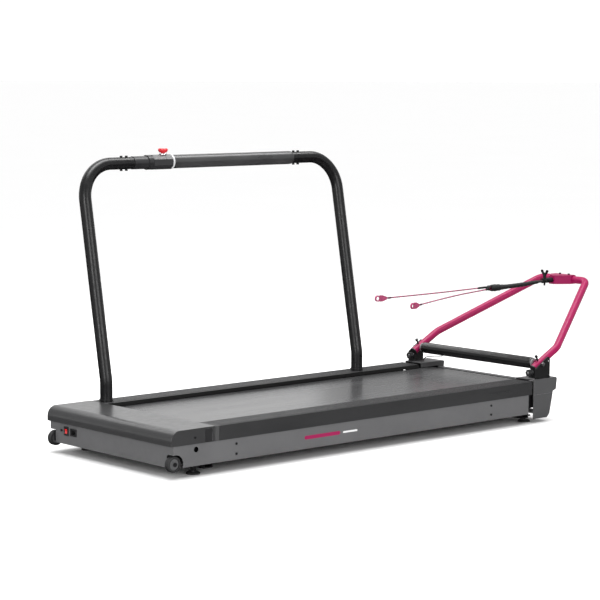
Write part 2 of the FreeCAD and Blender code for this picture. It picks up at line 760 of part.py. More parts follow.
def pivot_bolts():
    """Bolts through the plates, the arms and the cross bar's ends."""
    start = V(pivot_x, plate_y - 6.0, pivot_z)
    head = hexagon(9.0, start, 6.0, Y_AXIS)
    shank = cylinder(pivot_radius, start, cross_bar_start - start.y + 20.0, Y_AXIS)
    return both_sides(head.fuse(shank))


def cross_bar():
    """Steel bar between the two arms, drilled for the pivot bolts."""
    length = base_width - 2 * cross_bar_start
    bar = cylinder(cross_bar_radius, V(pivot_x, cross_bar_start, pivot_z), length, Y_AXIS)
    hole = cylinder(pivot_radius, V(pivot_x, cross_bar_start, pivot_z), 20.0, Y_AXIS)
    return bar.cut(hole).cut(other_side(hole))


def cross_bar_foam():
    length = base_width - 2 * foam_start
    return ring(foam_radius, cross_bar_radius, V(pivot_x, foam_start, pivot_z), length, Y_AXIS)


def head_slab(grow, z0, z1):
    """The head's tapered plan, from the nose to the tube, between two heights."""
    shoulder = head_x - arm_radius - 4.0
    end = head_x + arm_radius - 4.0
    wide = head_half_width - grow
    narrow = nose_half_width - grow
    half = [(nose_end + grow, narrow), (shoulder, wide), (end, wide)]
    plan = [V(x, mid_y - y, z0) for x, y in half] + [V(x, mid_y + y, z0) for x, y in reversed(half)]
    return Part.Face(Part.makePolygon(plan + [plan[0]])).extrude(V(0, 0, z1 - z0))


def tether_head():
    """Tapered head over the tube's middle, whose nose holds the strap's coupling."""
    top = head_z + head_wall
    shape = head_slab(0.0, head_z - head_wall + 2.0, top - 3.0).fuse(head_slab(3.0, top - 3.0, top))
    length = 2 * head_half_width + 2.0
    tube = cylinder(arm_radius, V(head_x, mid_y - length / 2.0, head_z), length, Y_AXIS)
    socket = cylinder(coupling_radius, V(nose_end - 1.0, mid_y, head_z), coupling_grip + 1.0, X_AXIS)
    return shape.cut(tube).cut(socket)


def head_screws():
    """Cap screws that hold the head to the tube, and the pull pins that stand on the arms."""
    parts = []
    for y in (mid_y - 29.0, mid_y + 22.0):
        parts.append(cylinder(5.0, V(head_x, y, head_z + head_wall), 5.0, Z_AXIS))
    up = V(-math.sin(slope), 0, math.cos(slope))
    centre = on_arm(2.0, arm_y)
    height = arm_radius + stop_pin_height
    pin = cylinder(stop_pin_radius, centre, height, up).fuse(cylinder(6.5, centre + up * height, 7.0, up))
    pin = pin.cut(cylinder(arm_radius, on_arm(-arm_tail, arm_y), 2 * arm_tail, on_arm(1.0, 0) - on_arm(0.0, 0)))
    return Part.makeCompound(parts + [pin, other_side(pin)])


def strap_coupling():
    """Round rod in the head's nose, forked at its end for the strap's eye."""
    rear = wing_bolt_x - 16.0
    rod = cylinder(coupling_radius, V(rear, mid_y, head_z), nose_end + coupling_grip - rear, X_AXIS)
    fork = box(rear - 1.0, wing_bolt_x + 16.0, mid_y - 20.0, mid_y + 20.0, head_z - 4.5, head_z + 4.5)
    bore = cylinder(wing_stem_radius + running_fit, V(wing_bolt_x, mid_y, head_z - 20.0), 40.0, Z_AXIS)
    return rod.cut(fork).cut(bore)


def wing_bolt():
    """Wing bolt through the fork, wings above and a plain end below."""
    stem = cylinder(wing_stem_radius, V(wing_bolt_x, mid_y, head_z - 22.0), 56.0, Z_AXIS)
    boss = cylinder(7.0, V(wing_bolt_x, mid_y, head_z + coupling_radius + 1.0), 22.0, Z_AXIS)
    shape = stem.fuse(boss)
    half = [(wing_span, 38.0), (wing_span + 2.0, 42.0), (wing_span, 47.0), (wing_span - 6.0, 47.0), (6.0, 35.0)]
    wings = [(mid_y + y, head_z + z) for y, z in [(6.0, 22.0)] + half]
    wings += [(mid_y - y, head_z + z) for y, z in reversed([(6.0, 22.0)] + half)]
    shape = shape.fuse(along(wings, wing_bolt_x - 3.5, wing_bolt_x + 3.5))
    return shape


def tether_strap():
    """Padded webbing strap: an eye on the wing bolt, a flat body and a bulky closed loop end."""
    eye = cylinder(12.0, V(wing_bolt_x, mid_y, head_z - 4.0), 8.0, Z_AXIS)
    tongue = box(wing_bolt_x - 32.0, wing_bolt_x, mid_y - 10.0, mid_y + 10.0, head_z - 4.0, head_z + 4.0)
    bore = cylinder(wing_stem_radius + running_fit, V(wing_bolt_x, mid_y, head_z - 10.0), 20.0, Z_AXIS)
    shape = eye.fuse(tongue).cut(bore)
    body_start = V(wing_bolt_x - 24.0, mid_y, head_z)
    stations = [(0.0, 7.0, 11.0), (0.25, 9.0, 12.0), (0.8, 9.0, 13.0), (1.0, 12.0, 17.0)]
    wires = []
    for share, half_z, half_y in stations:
        x = body_start.x + (strap_end_x - body_start.x) * share
        z = head_z - 8.0 * share
        wires.append(rounded_section(x, z, half_y, half_z))
    wires.append(rounded_section((strap_end_x + loop_end_x) / 2.0, head_z - 9.5, 18.0, 15.0))
    wires.append(rounded_section(loop_end_x, head_z - 10.5, 13.0, 10.0))
    body = Part.makeLoft(wires, True, False)
    return shape.fuse(body)


def rounded_section(x, z, half_y, half_z):
    """An oval section across the strap."""
    wide = half_y >= half_z
    major = max(half_y, half_z)
    minor = min(half_y, half_z)
    ellipse = Part.Ellipse(V(0, 0, 0), major, minor)
    edge = ellipse.toShape()
    edge.rotate(V(0, 0, 0), Y_AXIS, 90)
    if wide:
        edge.rotate(V(0, 0, 0), X_AXIS, 90)
    edge.translate(V(x, mid_y, z))
    return Part.Wire(edge)


# ---- cords --------------------------------------------------------------------------------
def cord_points(side, exit_z):
    """Route of one tether cord from the strap's loop to its hook; side is -1 near, +1 far."""
    drop = hook_drop_near if side < 0 else hook_drop_far
    return [V(loop_end_x, mid_y + side * 4.0, exit_z),
            V(loop_end_x - 52.0, mid_y + side * 12.0, exit_z - 2.0),
            V(loop_end_x - 272.0, mid_y + side * 52.0, head_z - 12.0 - drop / 4.0),
            V(hook_x, mid_y + side * hook_spread, head_z - drop)]


def cord_tube(name, points, radius):
    """A cord along its points; each bend's arc takes 0.45 of its shorter run. Prints its measures."""
    radii = []
    for k in range(1, len(points) - 1):
        back = points[k - 1] - points[k]
        ahead = points[k + 1] - points[k]
        half_turn = (math.pi - back.getAngle(ahead)) / 2.0
        radii.append(0.45 * min(back.Length, ahead.Length) / math.tan(half_turn))
    wire = rounded_route(points, radii)
    solid = sweep(wire, radius)
    section = math.pi * radius * radius * wire.Length
    print(name, "length", round(wire.Length, 1), "bend radii", [round(r) for r in radii],
          "volume / section x length", round(solid.Volume / section, 4))
    return solid


def tether_cord(side, name):
    exit_z = head_z - 10.0 + side * 4.0
    return cord_tube(name, cord_points(side, exit_z), cord_radius)


def hook_frame(side):
    """Hook direction and place at the end of its cord."""
    points = cord_points(side, head_z - 10.0 + side * 4.0)
    heading = (points[-1] - points[-2]).normalize()
    return points[-1], heading


def ring_hook(side):
    """Flat moulded hook: a tapered shank and an open ring, lying in the cord's own vertical plane."""
    start, heading = hook_frame(side)
    half = hook_width / 2.0
    thick = hook_thickness
    outline = [(0.0, -5.0), (0.0, 5.0), (22.0, half), (34.0, half), (34.0, -half), (22.0, -half)]
    corners = [V(s, -thick / 2.0, h) for s, h in outline]
    shank = Part.Face(Part.makePolygon(corners + [corners[0]])).extrude(V(0, thick, 0))
    eye_centre = V(34.0 + half * 0.8, -thick / 2.0, 0)
    eye = ring(half, half - 5.0, eye_centre, thick, Y_AXIS)
    shape = shank.cut(cylinder(half - 5.0, eye_centre, thick, Y_AXIS)).fuse(eye)
    turn = math.degrees(math.atan2(heading.y, heading.x))
    shape.rotate(V(0, 0, 0), Z_AXIS, turn)
    shape.translate(start)
    return shape


def ring_hooks():
    return Part.makeCompound([ring_hook(-1.0), ring_hook(1.0)])


def sensor_cable():
    """Thin cable from the far upright's foot up to the underside of the cross bar's foam."""
    y_foot = base_width - rail_width + 6.0
    points = [V(pivot_x + 14.0, y_foot + 52.0, front_top + 1.0),
              V(pivot_x + 13.0, y_foot + 44.0, front_top + 15.0),
              V(pivot_x + 8.0, y_foot - 4.0, front_top + 24.0),
              V(pivot_x + 2.0, y_foot - 78.0, pivot_z - foam_radius - cable_radius - 0.6)]
    return cord_tube("sensor_cable", points, cable_radius)


# ---- handrail -----------------------------------------------------------------------------
def handrail_post(x, toward):
    """Post on a welded foot plate: upright foot, outward lean, and a top that bends along the bar.

    toward is +1 when its top bends to the front.
    """
    end_x = x + toward * (bend_radius + sleeve_length)
    points = [V(x, post_y, beam_top + post_foot / 2.0), V(x, post_y, knee_z), V(x, bar_y, bar_height),
              V(end_x, bar_y, bar_height)]
    tube = bent_tube(points, [knee_radius, bend_radius], rail_tube_radius, rail_tube_wall)
    plate = box(x - 42.0, x + 42.0, belt_far + deck_side + 5.0, base_width - beam_inset,
                beam_top, beam_top + post_foot)
    collar = ring(rail_tube_radius + 3.5, rail_tube_radius - 0.5, V(x, post_y, deck_height + 5.0), 5.0, Z_AXIS)
    return tube.fuse(plate).fuse(collar)


def handrail_bar():
    """Straight top bar with a spigot at each end that enters the posts."""
    y, z = bar_y, bar_height
    bar = cylinder(rail_tube_radius, V(bar_start_x, y, z), bar_end_x - bar_start_x, X_AXIS)
    fit = rail_tube_radius - rail_tube_wall
    rear_spigot = cylinder(fit, V(bar_start_x - spigot, y, z), spigot, X_AXIS)
    front_spigot = cylinder(fit, V(bar_end_x, y, z), spigot, X_AXIS)
    bar = bar.fuse(rear_spigot).fuse(front_spigot)
    shape = bar.cut(cylinder(fit - 3.0, V(bar_start_x - spigot, y, z),
                             bar_end_x - bar_start_x + 2 * spigot, X_AXIS))
    for x in joint_bolts_x():
        shape = shape.cut(cylinder(bolt_radius, V(x, y, z - 60.0), 120.0, Z_AXIS))
    plunger = cylinder(estop_stem_radius + 1.0, V(estop_x, y, z), 40.0, Z_AXIS)
    return shape.cut(plunger)


def joint_bolts_x():
    """Two bolts through each post's sleeve."""
    rear = bar_start_x - rear_bolt_inset
    front = bar_end_x + front_bolt_inset
    return [rear - bolt_spacing, rear, front, front + bolt_spacing]


def handrail_bolts():
    """Through bolts with domed heads above and nuts below."""
    bolts = []
    for x in joint_bolts_x():
        half = rail_tube_radius
        shank = cylinder(bolt_radius, V(x, bar_y, bar_height - half - 4.0), 2 * half + 8.0, Z_AXIS)
        head = cylinder(5.5, V(x, bar_y, bar_height + half + 0.2), 5.0, Z_AXIS)
        nut = hexagon(6.0, V(x, bar_y, bar_height - half - 6.2), 6.0, Z_AXIS)
        bolts.append(shank.fuse(head).fuse(nut))
    return Part.makeCompound(bolts)


def drilled_post(x, toward):
    shape = handrail_post(x, toward)
    for bolt_x in joint_bolts_x():
        shape = shape.cut(cylinder(bolt_radius, V(bolt_x, bar_y, bar_height - 60.0), 120.0, Z_AXIS))
    return shape


def handrail_grip():
    """Long padded grip with a chamfered front end."""
    length = grip_end - grip_start
    outer = cylinder(grip_radius, V(grip_start, bar_y, bar_height), length - 14.0, X_AXIS)
    tail = Part.makeCone(grip_radius, rail_tube_radius + 1.0, 14.0, V(grip_end - 14.0, bar_y, bar_height), X_AXIS)
    bore = cylinder(rail_tube_radius, V(grip_start, bar_y, bar_height), length, X_AXIS)
    return outer.fuse(tail).cut(bore)


def handrail_collars():
    """Grey collar and stepped ring before the stop housing, and the bright ring after it."""
    start = bar_start_x + clear
    step = estop_start - 22.0
    collar = ring(rail_tube_radius + 1.6, rail_tube_radius, V(start, bar_y, bar_height), step - start, X_AXIS)
    band_length = estop_start - clear - step
    band = ring(rail_tube_radius + 5.0, rail_tube_radius, V(step, bar_y, bar_height), band_length, X_AXIS)
    bright = ring(bright_ring_radius, rail_tube_radius, V(estop_end + clear, bar_y, bar_height),
                  bright_ring_length, X_AXIS)
    return Part.makeCompound([collar.fuse(band), bright])


def estop_housing():
    """Faceted housing around the bar with a raised round collar for the stop button."""
    radius = grip_radius + 1.5
    length = estop_end - estop_start
    corners = []
    for k in range(8):
        turn = math.radians(22.5 + 45 * k)
        corners.append(V(estop_start, bar_y + radius * math.cos(turn) / math.cos(math.pi / 8),
                         bar_height + radius * math.sin(turn) / math.cos(math.pi / 8)))
    body = Part.Face(Part.makePolygon(corners + [corners[0]])).extrude(V(length, 0, 0))
    collar = cylinder(15.0, V(estop_x, bar_y, bar_height), estop_collar_top - bar_height, Z_AXIS)
    bore = cylinder(rail_tube_radius, V(estop_start, bar_y, bar_height), length, X_AXIS)
    well = cylinder(estop_stem_radius + running_fit, V(estop_x, bar_y, bar_height), 60.0, Z_AXIS)
    return body.fuse(collar).cut(bore).cut(well)


def estop_button():
    """Mushroom stop button: stem, skirted head and domed top."""
    under = estop_collar_top + estop_travel + 1.5
    stem = cylinder(estop_stem_radius, V(estop_x, bar_y, bar_height + 8.0), under - bar_height - 8.0, Z_AXIS)
    head = Part.makeCone(estop_head_radius - 5.0, estop_head_radius, 9.0, V(estop_x, bar_y, under), Z_AXIS)
    rim = cylinder(estop_head_radius, V(estop_x, bar_y, under + 9.0), 4.0, Z_AXIS)
    dome = Part.makeCone(estop_head_radius, estop_head_radius - 4.0, 3.0, V(estop_x, bar_y, under + 13.0), Z_AXIS)
    return stem.fuse(head).fuse(rim).fuse(dome)


# ---- wheels and feet ----------------------------------------------------------------------
def transport_wheel():
    """Hard rubber wheel with a recessed hub on each face."""
    tyre = cylinder(wheel_radius, V(wheel_x, wheel_y, wheel_z), wheel_width, Y_AXIS)
    tyre = tyre.makeFillet(2.5, [e for e in tyre.Edges if e.Length > 100.0])
    for y in (wheel_y - 1.0, wheel_y + wheel_width - 4.0):
        tyre = tyre.cut(ring(wheel_radius - 8.0, 10.0, V(wheel_x, y, wheel_z), 5.0, Y_AXIS))
    return tyre.cut(cylinder(wheel_axle_radius + running_fit, V(wheel_x, wheel_y, wheel_z), wheel_width, Y_AXIS))


def wheel_brackets():
    """A folded bracket from the beam's end to each wheel, with the axle pin it carries."""
    inner = wheel_y + wheel_width + 2.0
    arm = box(wheel_x - 14.0, beam_start + 40.0, inner, inner + 4.0, wheel_z - 8.0, wheel_z + wheel_notch - run_gap)
    arm = arm.cut(box(beam_start, beam_start + 41.0, inner - 1.0, inner + 5.0, 0.0, beam_bottom + beam_wall))
    pin = cylinder(wheel_axle_radius, V(wheel_x, wheel_y - 2.0, wheel_z), inner - wheel_y + 4.0, Y_AXIS)
    head = cylinder(wheel_axle_radius + 3.0, V(wheel_x, wheel_y - 4.0, wheel_z), 3.0, Y_AXIS)
    return both_sides(arm.fuse(pin).fuse(head))


def levelling_foot(x, y):
    """Rubber-soled foot pad on a threaded stud."""
    sole = cylinder(foot_pad_radius, V(x, y, 0.0), foot_pad_height - 4.0, Z_AXIS)
    crown = Part.makeCone(foot_pad_radius, foot_pad_radius - 8.0, 4.0, V(x, y, foot_pad_height - 4.0), Z_AXIS)
    stud = cylinder(foot_stud_radius, V(x, y, 0.0), foot_top, Z_AXIS)
    return sole.fuse(crown).fuse(stud)


foot_places = {
    "foot_rear_right": (rear_foot_x, foot_inset),
    "foot_rear_left": (rear_foot_x, base_width - foot_inset),
    "foot_front_right": (front_foot_x, foot_inset),
    "foot_front_left": (front_foot_x, base_width - foot_inset),
}


def foot_nuts():
    """Lock nuts under the foot plates."""
    nuts = []
    for x, y in foot_places.values():
        nut = hexagon(11.0, V(x, y, foot_plate_z - 10.5), 10.0, Z_AXIS)
        nuts.append(nut.cut(cylinder(foot_stud_radius + running_fit, V(x, y, 0.0), 60.0, Z_AXIS)))
    return Part.makeCompound(nuts)


# ---- electrics ----------------------------------------------------------------------------
def switch_bezel():
    """Frame of the mains switch, through the end panel."""
    x0 = panel_setback - bezel_proud
    flange = box(x0, panel_setback, switch_y - switch_width / 2, switch_y + switch_width / 2,
                 switch_z - switch_height / 2, switch_z + switch_height / 2)
    body = box(panel_setback, panel_setback + 24.0, switch_y - switch_width / 2 + 3.2,
               switch_y + switch_width / 2 - 3.2, switch_z - switch_height / 2 + 3.2,
               switch_z + switch_height / 2 - 3.2)
    window = box(x0 - 1.0, panel_setback + 20.0, switch_y - rocker_half_width - rocker_gap,
                 switch_y + rocker_half_width + rocker_gap, switch_z - rocker_half_height - rocker_gap,
                 switch_z + rocker_half_height + rocker_gap)
    pin_hole = cylinder(rocker_pin_radius + running_fit, V(rocker_pivot_x, switch_y - switch_width, switch_z),
                        2 * switch_width, Y_AXIS)
    return flange.fuse(body).cut(window).cut(pin_hole)


def switch_rocker():
    """Rocker with a shallow vee face, on a cross pin inside the bezel."""
    x0 = panel_setback - bezel_proud
    outline = [(x0 - 1.6, switch_z + 9.0), (x0 + 0.2, switch_z), (x0 - 1.6, switch_z - 9.0),
               (rocker_pivot_x, switch_z - 5.5), (rocker_pivot_x, switch_z + 5.5)]
    wedge = across(outline, switch_y - rocker_half_width, switch_y + rocker_half_width)
    half_pin = rocker_half_width + 2.4
    pin = cylinder(rocker_pin_radius, V(rocker_pivot_x, switch_y - half_pin, switch_z), 2 * half_pin, Y_AXIS)
    return wedge.fuse(pin)


def power_inlet():
    """Three-pin mains inlet: flange, shrouded socket and pins."""
    x0 = panel_setback - 2.0
    flange = box(x0, panel_setback, inlet_y - inlet_width / 2, inlet_y + inlet_width / 2,
                 inlet_z - inlet_height / 2, inlet_z + inlet_height / 2)
    body = box(panel_setback, panel_setback + 24.0, inlet_y - inlet_width / 2 + 4.2,
               inlet_y + inlet_width / 2 - 4.2, inlet_z - inlet_height / 2 + 3.2,
               inlet_z + inlet_height / 2 - 3.2)
    socket = box(x0 - 1.0, panel_setback + 18.0, inlet_y - 12.0, inlet_y + 12.0, inlet_z - 8.0, inlet_z + 8.0)
    shape = flange.fuse(body).cut(socket)
    for y, z in ((inlet_y - 7.0, inlet_z - 2.0), (inlet_y, inlet_z + 2.0), (inlet_y + 7.0, inlet_z - 2.0)):
        shape = shape.fuse(box(panel_setback + 3.0, panel_setback + 19.0, y - 1.0, y + 1.0, z - 2.0, z + 2.0))
    return shape


def breaker_button():
    """Push-to-reset breaker button."""
    proud = breaker_travel + clear
    face = cylinder(breaker_radius - 0.1, V(panel_setback - proud, breaker_y, switch_z), proud + 10.0, X_AXIS)
    collar = cylinder(breaker_radius + 2.0, V(panel_setback + 6.0, breaker_y, switch_z), 3.0, X_AXIS)
    return face.fuse(collar)


def cover_screws():
    """Domed screws of the end panel, the skirts and the rear cover's lips."""
    screws = []
    for y in panel_screws_y:
        head = cylinder(screw_head_radius, V(panel_setback - 2.0, y, panel_screw_z), 2.0, X_AXIS)
        screws.append(head.fuse(cylinder(screw_radius, V(panel_setback, y, panel_screw_z), 10.0, X_AXIS)))
    side = []
    for x, z in skirt_screws:
        head = cylinder(screw_head_radius, V(x, skirt_y - 2.0, z), 2.0, Y_AXIS)
        side.append(head.fuse(cylinder(screw_radius, V(x, skirt_y, z), 10.0, Y_AXIS)))
    side.append(cylinder(screw_head_radius, V(lip_screw_x, -1.5, lip_screw_z), 1.5, Y_AXIS))
    for screw in side:
        screws += [screw, other_side(screw)]
    return Part.makeCompound(screws)


def build():
    os.makedirs("parts", exist_ok=True)
    save("side_beams", side_beams())
    save("cross_members", cross_members())
    save("deck_board", deck_board())
    save("deck_cushions", deck_cushions())
    save("running_belt", running_belt())
    save("drive_roller", drive_roller())
    save("roller_bearings", roller_bearings())
    save("roller_pulley", roller_pulley())
    save("motor_pulley", motor_pulley())
    save("drive_belt", drive_belt())
    save("drive_motor", drive_motor())
    save("motor_mount", motor_mount())
    save("motor_controller", motor_controller())
    save("front_roller", front_roller())
    save("front_roller_shaft", front_roller_shaft())
    save("rear_cover", rear_cover())
    save("rear_end_panel", rear_end_panel())
    save("side_skirts", side_skirts())
    save("step_rail_right", step_rail())
    save("step_rail_left", step_rail_far())
    save("front_cover", front_cover())
    save("upright_plates", both_sides(upright_plate()))
    save("lock_knob_right", lock_knob())
    save("lock_knob_left", other_side(lock_knob()))
    save("tether_arm_right", tether_arm())
    save("tether_arm_left", other_side(tether_arm()))
    save("arm_end_plugs", arm_end_plugs())
    save("pivot_bolts", pivot_bolts())
    save("cross_bar", cross_bar())
    save("cross_bar_foam", cross_bar_foam())
    save("tether_head", tether_head())
    save("head_screws", head_screws())
    save("strap_coupling", strap_coupling())
    save("wing_bolt", wing_bolt())
    save("tether_strap", tether_strap())
    save("tether_cord_right", tether_cord(-1.0, "tether_cord_right"))
    save("tether_cord_left", tether_cord(1.0, "tether_cord_left"))
    save("ring_hooks", ring_hooks())
    save("sensor_cable", sensor_cable())
    save("handrail_post_rear", drilled_post(rear_post_x, 1.0))
    save("handrail_post_front", drilled_post(front_post_x, -1.0))
    save("handrail_bar", handrail_bar())
    save("handrail_bolts", handrail_bolts())
    save("handrail_grip", handrail_grip())
    save("handrail_collars", handrail_collars())
    save("estop_housing", estop_housing())
    save("estop_button", estop_button())
    save("wheel_right", transport_wheel())
    save("wheel_left", other_side(transport_wheel()))
    save("wheel_brackets", wheel_brackets())
    for name, (x, y) in foot_places.items():
        save(name, levelling_foot(x, y))
    save("foot_nuts", foot_nuts())
    save("switch_bezel", switch_bezel())
    save("switch_rocker", switch_rocker())
    save("power_inlet", power_inlet())
    save("breaker_button", breaker_button())
    save("cover_screws", cover_screws())


build()
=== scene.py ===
import json
import math

import bmesh
import bpy
from mathutils import Matrix, Vector


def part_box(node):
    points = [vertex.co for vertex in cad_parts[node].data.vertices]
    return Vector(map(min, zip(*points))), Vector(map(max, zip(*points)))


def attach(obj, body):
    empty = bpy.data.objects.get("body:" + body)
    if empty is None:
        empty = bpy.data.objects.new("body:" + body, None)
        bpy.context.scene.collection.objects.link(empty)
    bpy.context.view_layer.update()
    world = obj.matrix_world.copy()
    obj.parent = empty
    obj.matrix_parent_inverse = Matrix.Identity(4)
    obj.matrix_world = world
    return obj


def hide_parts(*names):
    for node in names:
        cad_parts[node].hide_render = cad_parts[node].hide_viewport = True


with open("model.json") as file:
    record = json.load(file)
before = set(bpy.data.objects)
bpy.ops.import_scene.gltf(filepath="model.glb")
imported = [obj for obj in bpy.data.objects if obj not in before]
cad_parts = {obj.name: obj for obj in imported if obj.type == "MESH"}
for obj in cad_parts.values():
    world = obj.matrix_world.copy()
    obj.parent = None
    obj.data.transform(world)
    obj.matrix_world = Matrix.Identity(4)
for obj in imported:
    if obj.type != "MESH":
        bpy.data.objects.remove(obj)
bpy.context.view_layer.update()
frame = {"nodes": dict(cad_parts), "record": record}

# ---- sizes ----------------------------------------------------------------------------------
# The camera stands behind and to the right of the treadmill, a little above the handrail.
CAMERA_PLACE = Vector((-5.8241, -6.2974, 1.4651))
CAMERA_HEADING = 48.53       # degrees from +X towards +Y
CAMERA_PITCH = 6.29          # degrees below level
CAMERA_ROLL = 0.2
CAMERA_LENS = 127.5

CORD_DIAMETER = 0.006
CABLE_DIAMETER = 0.004
CORD_LENGTH = {"right": 0.5128, "left": 0.5125}
CORD_ROUTE = {
    "right": [(0.7572, -0.06375, 0.51898), (0.7052, -0.07175, 0.51698),
              (0.4852, -0.11175, 0.51148), (0.2532, -0.15475, 0.49498)],
    "left": [(0.7572, -0.05575, 0.52698), (0.7052, -0.04775, 0.52498),
             (0.4852, -0.00775, 0.51473), (0.2532, 0.03525, 0.50798)],
}
CABLE_ROUTE = [(0.7128, 0.27825, 0.182), (0.7118, 0.27025, 0.196),
               (0.7068, 0.22225, 0.205), (0.7008, 0.14825, 0.2134)]

MID_Y = (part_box("side_skirts")[0].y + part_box("side_skirts")[1].y) / 2.0


# ---- camera ---------------------------------------------------------------------------------
def make_camera():
    """Camera at the set place, looking along the heading and pitch."""
    heading = math.radians(CAMERA_HEADING)
    pitch = math.radians(CAMERA_PITCH)
    ahead = Vector((math.cos(heading) * math.cos(pitch), math.sin(heading) * math.cos(pitch), -math.sin(pitch)))
    data = bpy.data.cameras.new("camera")
    data.lens = CAMERA_LENS
    data.sensor_width = 36.0
    data.clip_end = 200.0
    camera = bpy.data.objects.new("camera", data)
    bpy.context.collection.objects.link(camera)
    camera.location = CAMERA_PLACE
    roll = Matrix.Rotation(math.radians(-CAMERA_ROLL), 4, ahead)
    camera.rotation_mode = "QUATERNION"
    camera.rotation_quaternion = (roll @ ahead.to_track_quat("-Z", "Y").to_matrix().to_4x4()).to_quaternion()
    bpy.context.scene.camera = camera


make_camera()


# ---- shader helpers -------------------------------------------------------------------------
def add(tree, kind, settings=None, **inputs):
    """A shader node; inputs are linked where they are sockets and set where they are values."""
    made = tree.nodes.new(kind)
    for key, value in (settings or {}).items():
        setattr(made, key, value)
    for key, value in inputs.items():
        numbered = key[0] == "i" and key[1:].isdigit()
        socket = made.inputs[int(key[1:]) if numbered else key.replace("_", " ")]
        if isinstance(value, bpy.types.NodeSocket):
            tree.links.new(value, socket)
        else:
            socket.default_value = value
    return made


def start_material(name):
    material = bpy.data.materials.new(name)
    material.use_nodes = True
    tree = material.node_tree
    return material, tree, tree.nodes["Principled BSDF"]


def place(tree, stretch=(1, 1, 1)):
    """Object coordinates in metres, stretched along each axis."""
    source = add(tree, "ShaderNodeTexCoord").outputs["Object"]
    if stretch == (1, 1, 1):
        return source
    return add(tree, "ShaderNodeMapping", Vector=source, Scale=stretch).outputs[0]


def noise(tree, scale, detail=3.0, roughness=0.55, stretch=(1, 1, 1), vector=None):
    vector = place(tree, stretch) if vector is None else vector
    made = add(tree, "ShaderNodeTexNoise", Vector=vector, Scale=scale, Detail=detail, Roughness=roughness)
    return made.outputs[0]


def ramp(tree, factor, low, high, first=0.0, last=1.0):
    """factor from low to high becomes first to last, clamped."""
    made = add(tree, "ShaderNodeMapRange", Value=factor, From_Min=low, From_Max=high, To_Min=first, To_Max=last)
    return made.outputs[0]


def mix(tree, factor, first, second):
    made = add(tree, "ShaderNodeMix", {"data_type": "RGBA"})
    for socket, value in ((made.inputs[0], factor), (made.inputs[6], first), (made.inputs[7], second)):
        if isinstance(value, bpy.types.NodeSocket):
            tree.links.new(value, socket)
        else:
            socket.default_value = value
    return made.outputs[2]


def calc(tree, operation, first, second=0.0, third=0.0):
    made = add(tree, "ShaderNodeMath", {"operation": operation}, i0=first, i1=second, i2=third)
    return made.outputs[0]


def axis(tree, vector, letter):
    return add(tree, "ShaderNodeSeparateXYZ", Vector=vector).outputs["XYZ".index(letter)]


def rgba(colour, gain=1.0):
    return tuple(min(1.0, c * gain) for c in colour) + (1.0,)


def worn_edge(tree, radius):
    """1 along convex and concave edges and 0 on flats, broken up by noise."""
    rounded = add(tree, "ShaderNodeBevel", {"samples": 4}, Radius=radius).outputs[0]
    flat = add(tree, "ShaderNodeNewGeometry").outputs["Normal"]
    dot = add(tree, "ShaderNodeVectorMath", {"operation": "DOT_PRODUCT"}, i0=rounded, i1=flat).outputs["Value"]
    edge = ramp(tree, dot, 0.995, 0.90)
    return calc(tree, "MULTIPLY", edge, ramp(tree, noise(tree, 60.0), 0.40, 0.62))


def surface(name, colour, roughness, metallic=0.0, specular=0.5, coat=0.0, variation=0.12, patch=6.0,
            grain=900.0, bump=0.10, depth=0.0002, scatter=0.08, stretch=(1, 1, 1), wear=0.0, worn=(0.3, 0.3, 0.3)):
    """Paint, moulded plastic or metal: colour and gloss that vary, fine grain, and worn edges."""
    material, tree, shader = start_material(name)
    broad = noise(tree, patch, 4.0)
    base = mix(tree, ramp(tree, broad, 0.3, 0.7), rgba(colour, 1.0 - variation), rgba(colour, 1.0 + variation))
    fine = noise(tree, grain, 2.0, stretch=stretch)
    smudge = noise(tree, patch * 7.0, 5.0, stretch=stretch)
    gloss = ramp(tree, smudge, 0.3, 0.7, roughness - scatter, roughness + scatter)
    if wear:
        edge = calc(tree, "MULTIPLY", worn_edge(tree, 0.0012), wear)
        base = mix(tree, edge, base, rgba(worn))
    tree.links.new(base, shader.inputs["Base Color"])
    tree.links.new(gloss, shader.inputs["Roughness"])
    shader.inputs["Metallic"].default_value = metallic
    shader.inputs["Specular IOR Level"].default_value = specular
    shader.inputs["Coat Weight"].default_value = coat
    shader.inputs["Coat Roughness"].default_value = 0.18
    relief = add(tree, "ShaderNodeBump", Strength=bump, Distance=depth, Height=fine)
    tree.links.new(relief.outputs[0], shader.inputs["Normal"])
    return material


# ---- materials ------------------------------------------------------------------------------
def belt_material():
    """Running belt: satin PVC with a fine diamond emboss and faint lengthwise wear."""
    material, tree, shader = start_material("belt")
    where = place(tree)
    wear = noise(tree, 3.0, 6.0, stretch=(0.35, 5.0, 1.0))
    base = mix(tree, ramp(tree, wear, 0.35, 0.7), (0.034, 0.034, 0.035, 1), (0.050, 0.050, 0.052, 1))
    tree.links.new(base, shader.inputs["Base Color"])
    tree.links.new(ramp(tree, wear, 0.3, 0.7, 0.22, 0.29), shader.inputs["Roughness"])
    shader.inputs["Specular IOR Level"].default_value = 0.55
    waves = []
    for turn in (math.radians(35), math.radians(-35)):
        turned = add(tree, "ShaderNodeMapping", Vector=where, Rotation=(0, 0, turn))
        waves.append(add(tree, "ShaderNodeTexWave", Vector=turned.outputs[0], Scale=95.0).outputs[1])
    emboss = calc(tree, "MAXIMUM", waves[0], waves[1])
    height = calc(tree, "ADD", emboss, noise(tree, 1400.0))
    relief = add(tree, "ShaderNodeBump", Strength=0.05, Distance=0.0002, Height=height)
    tree.links.new(relief.outputs[0], shader.inputs["Normal"])
    return material


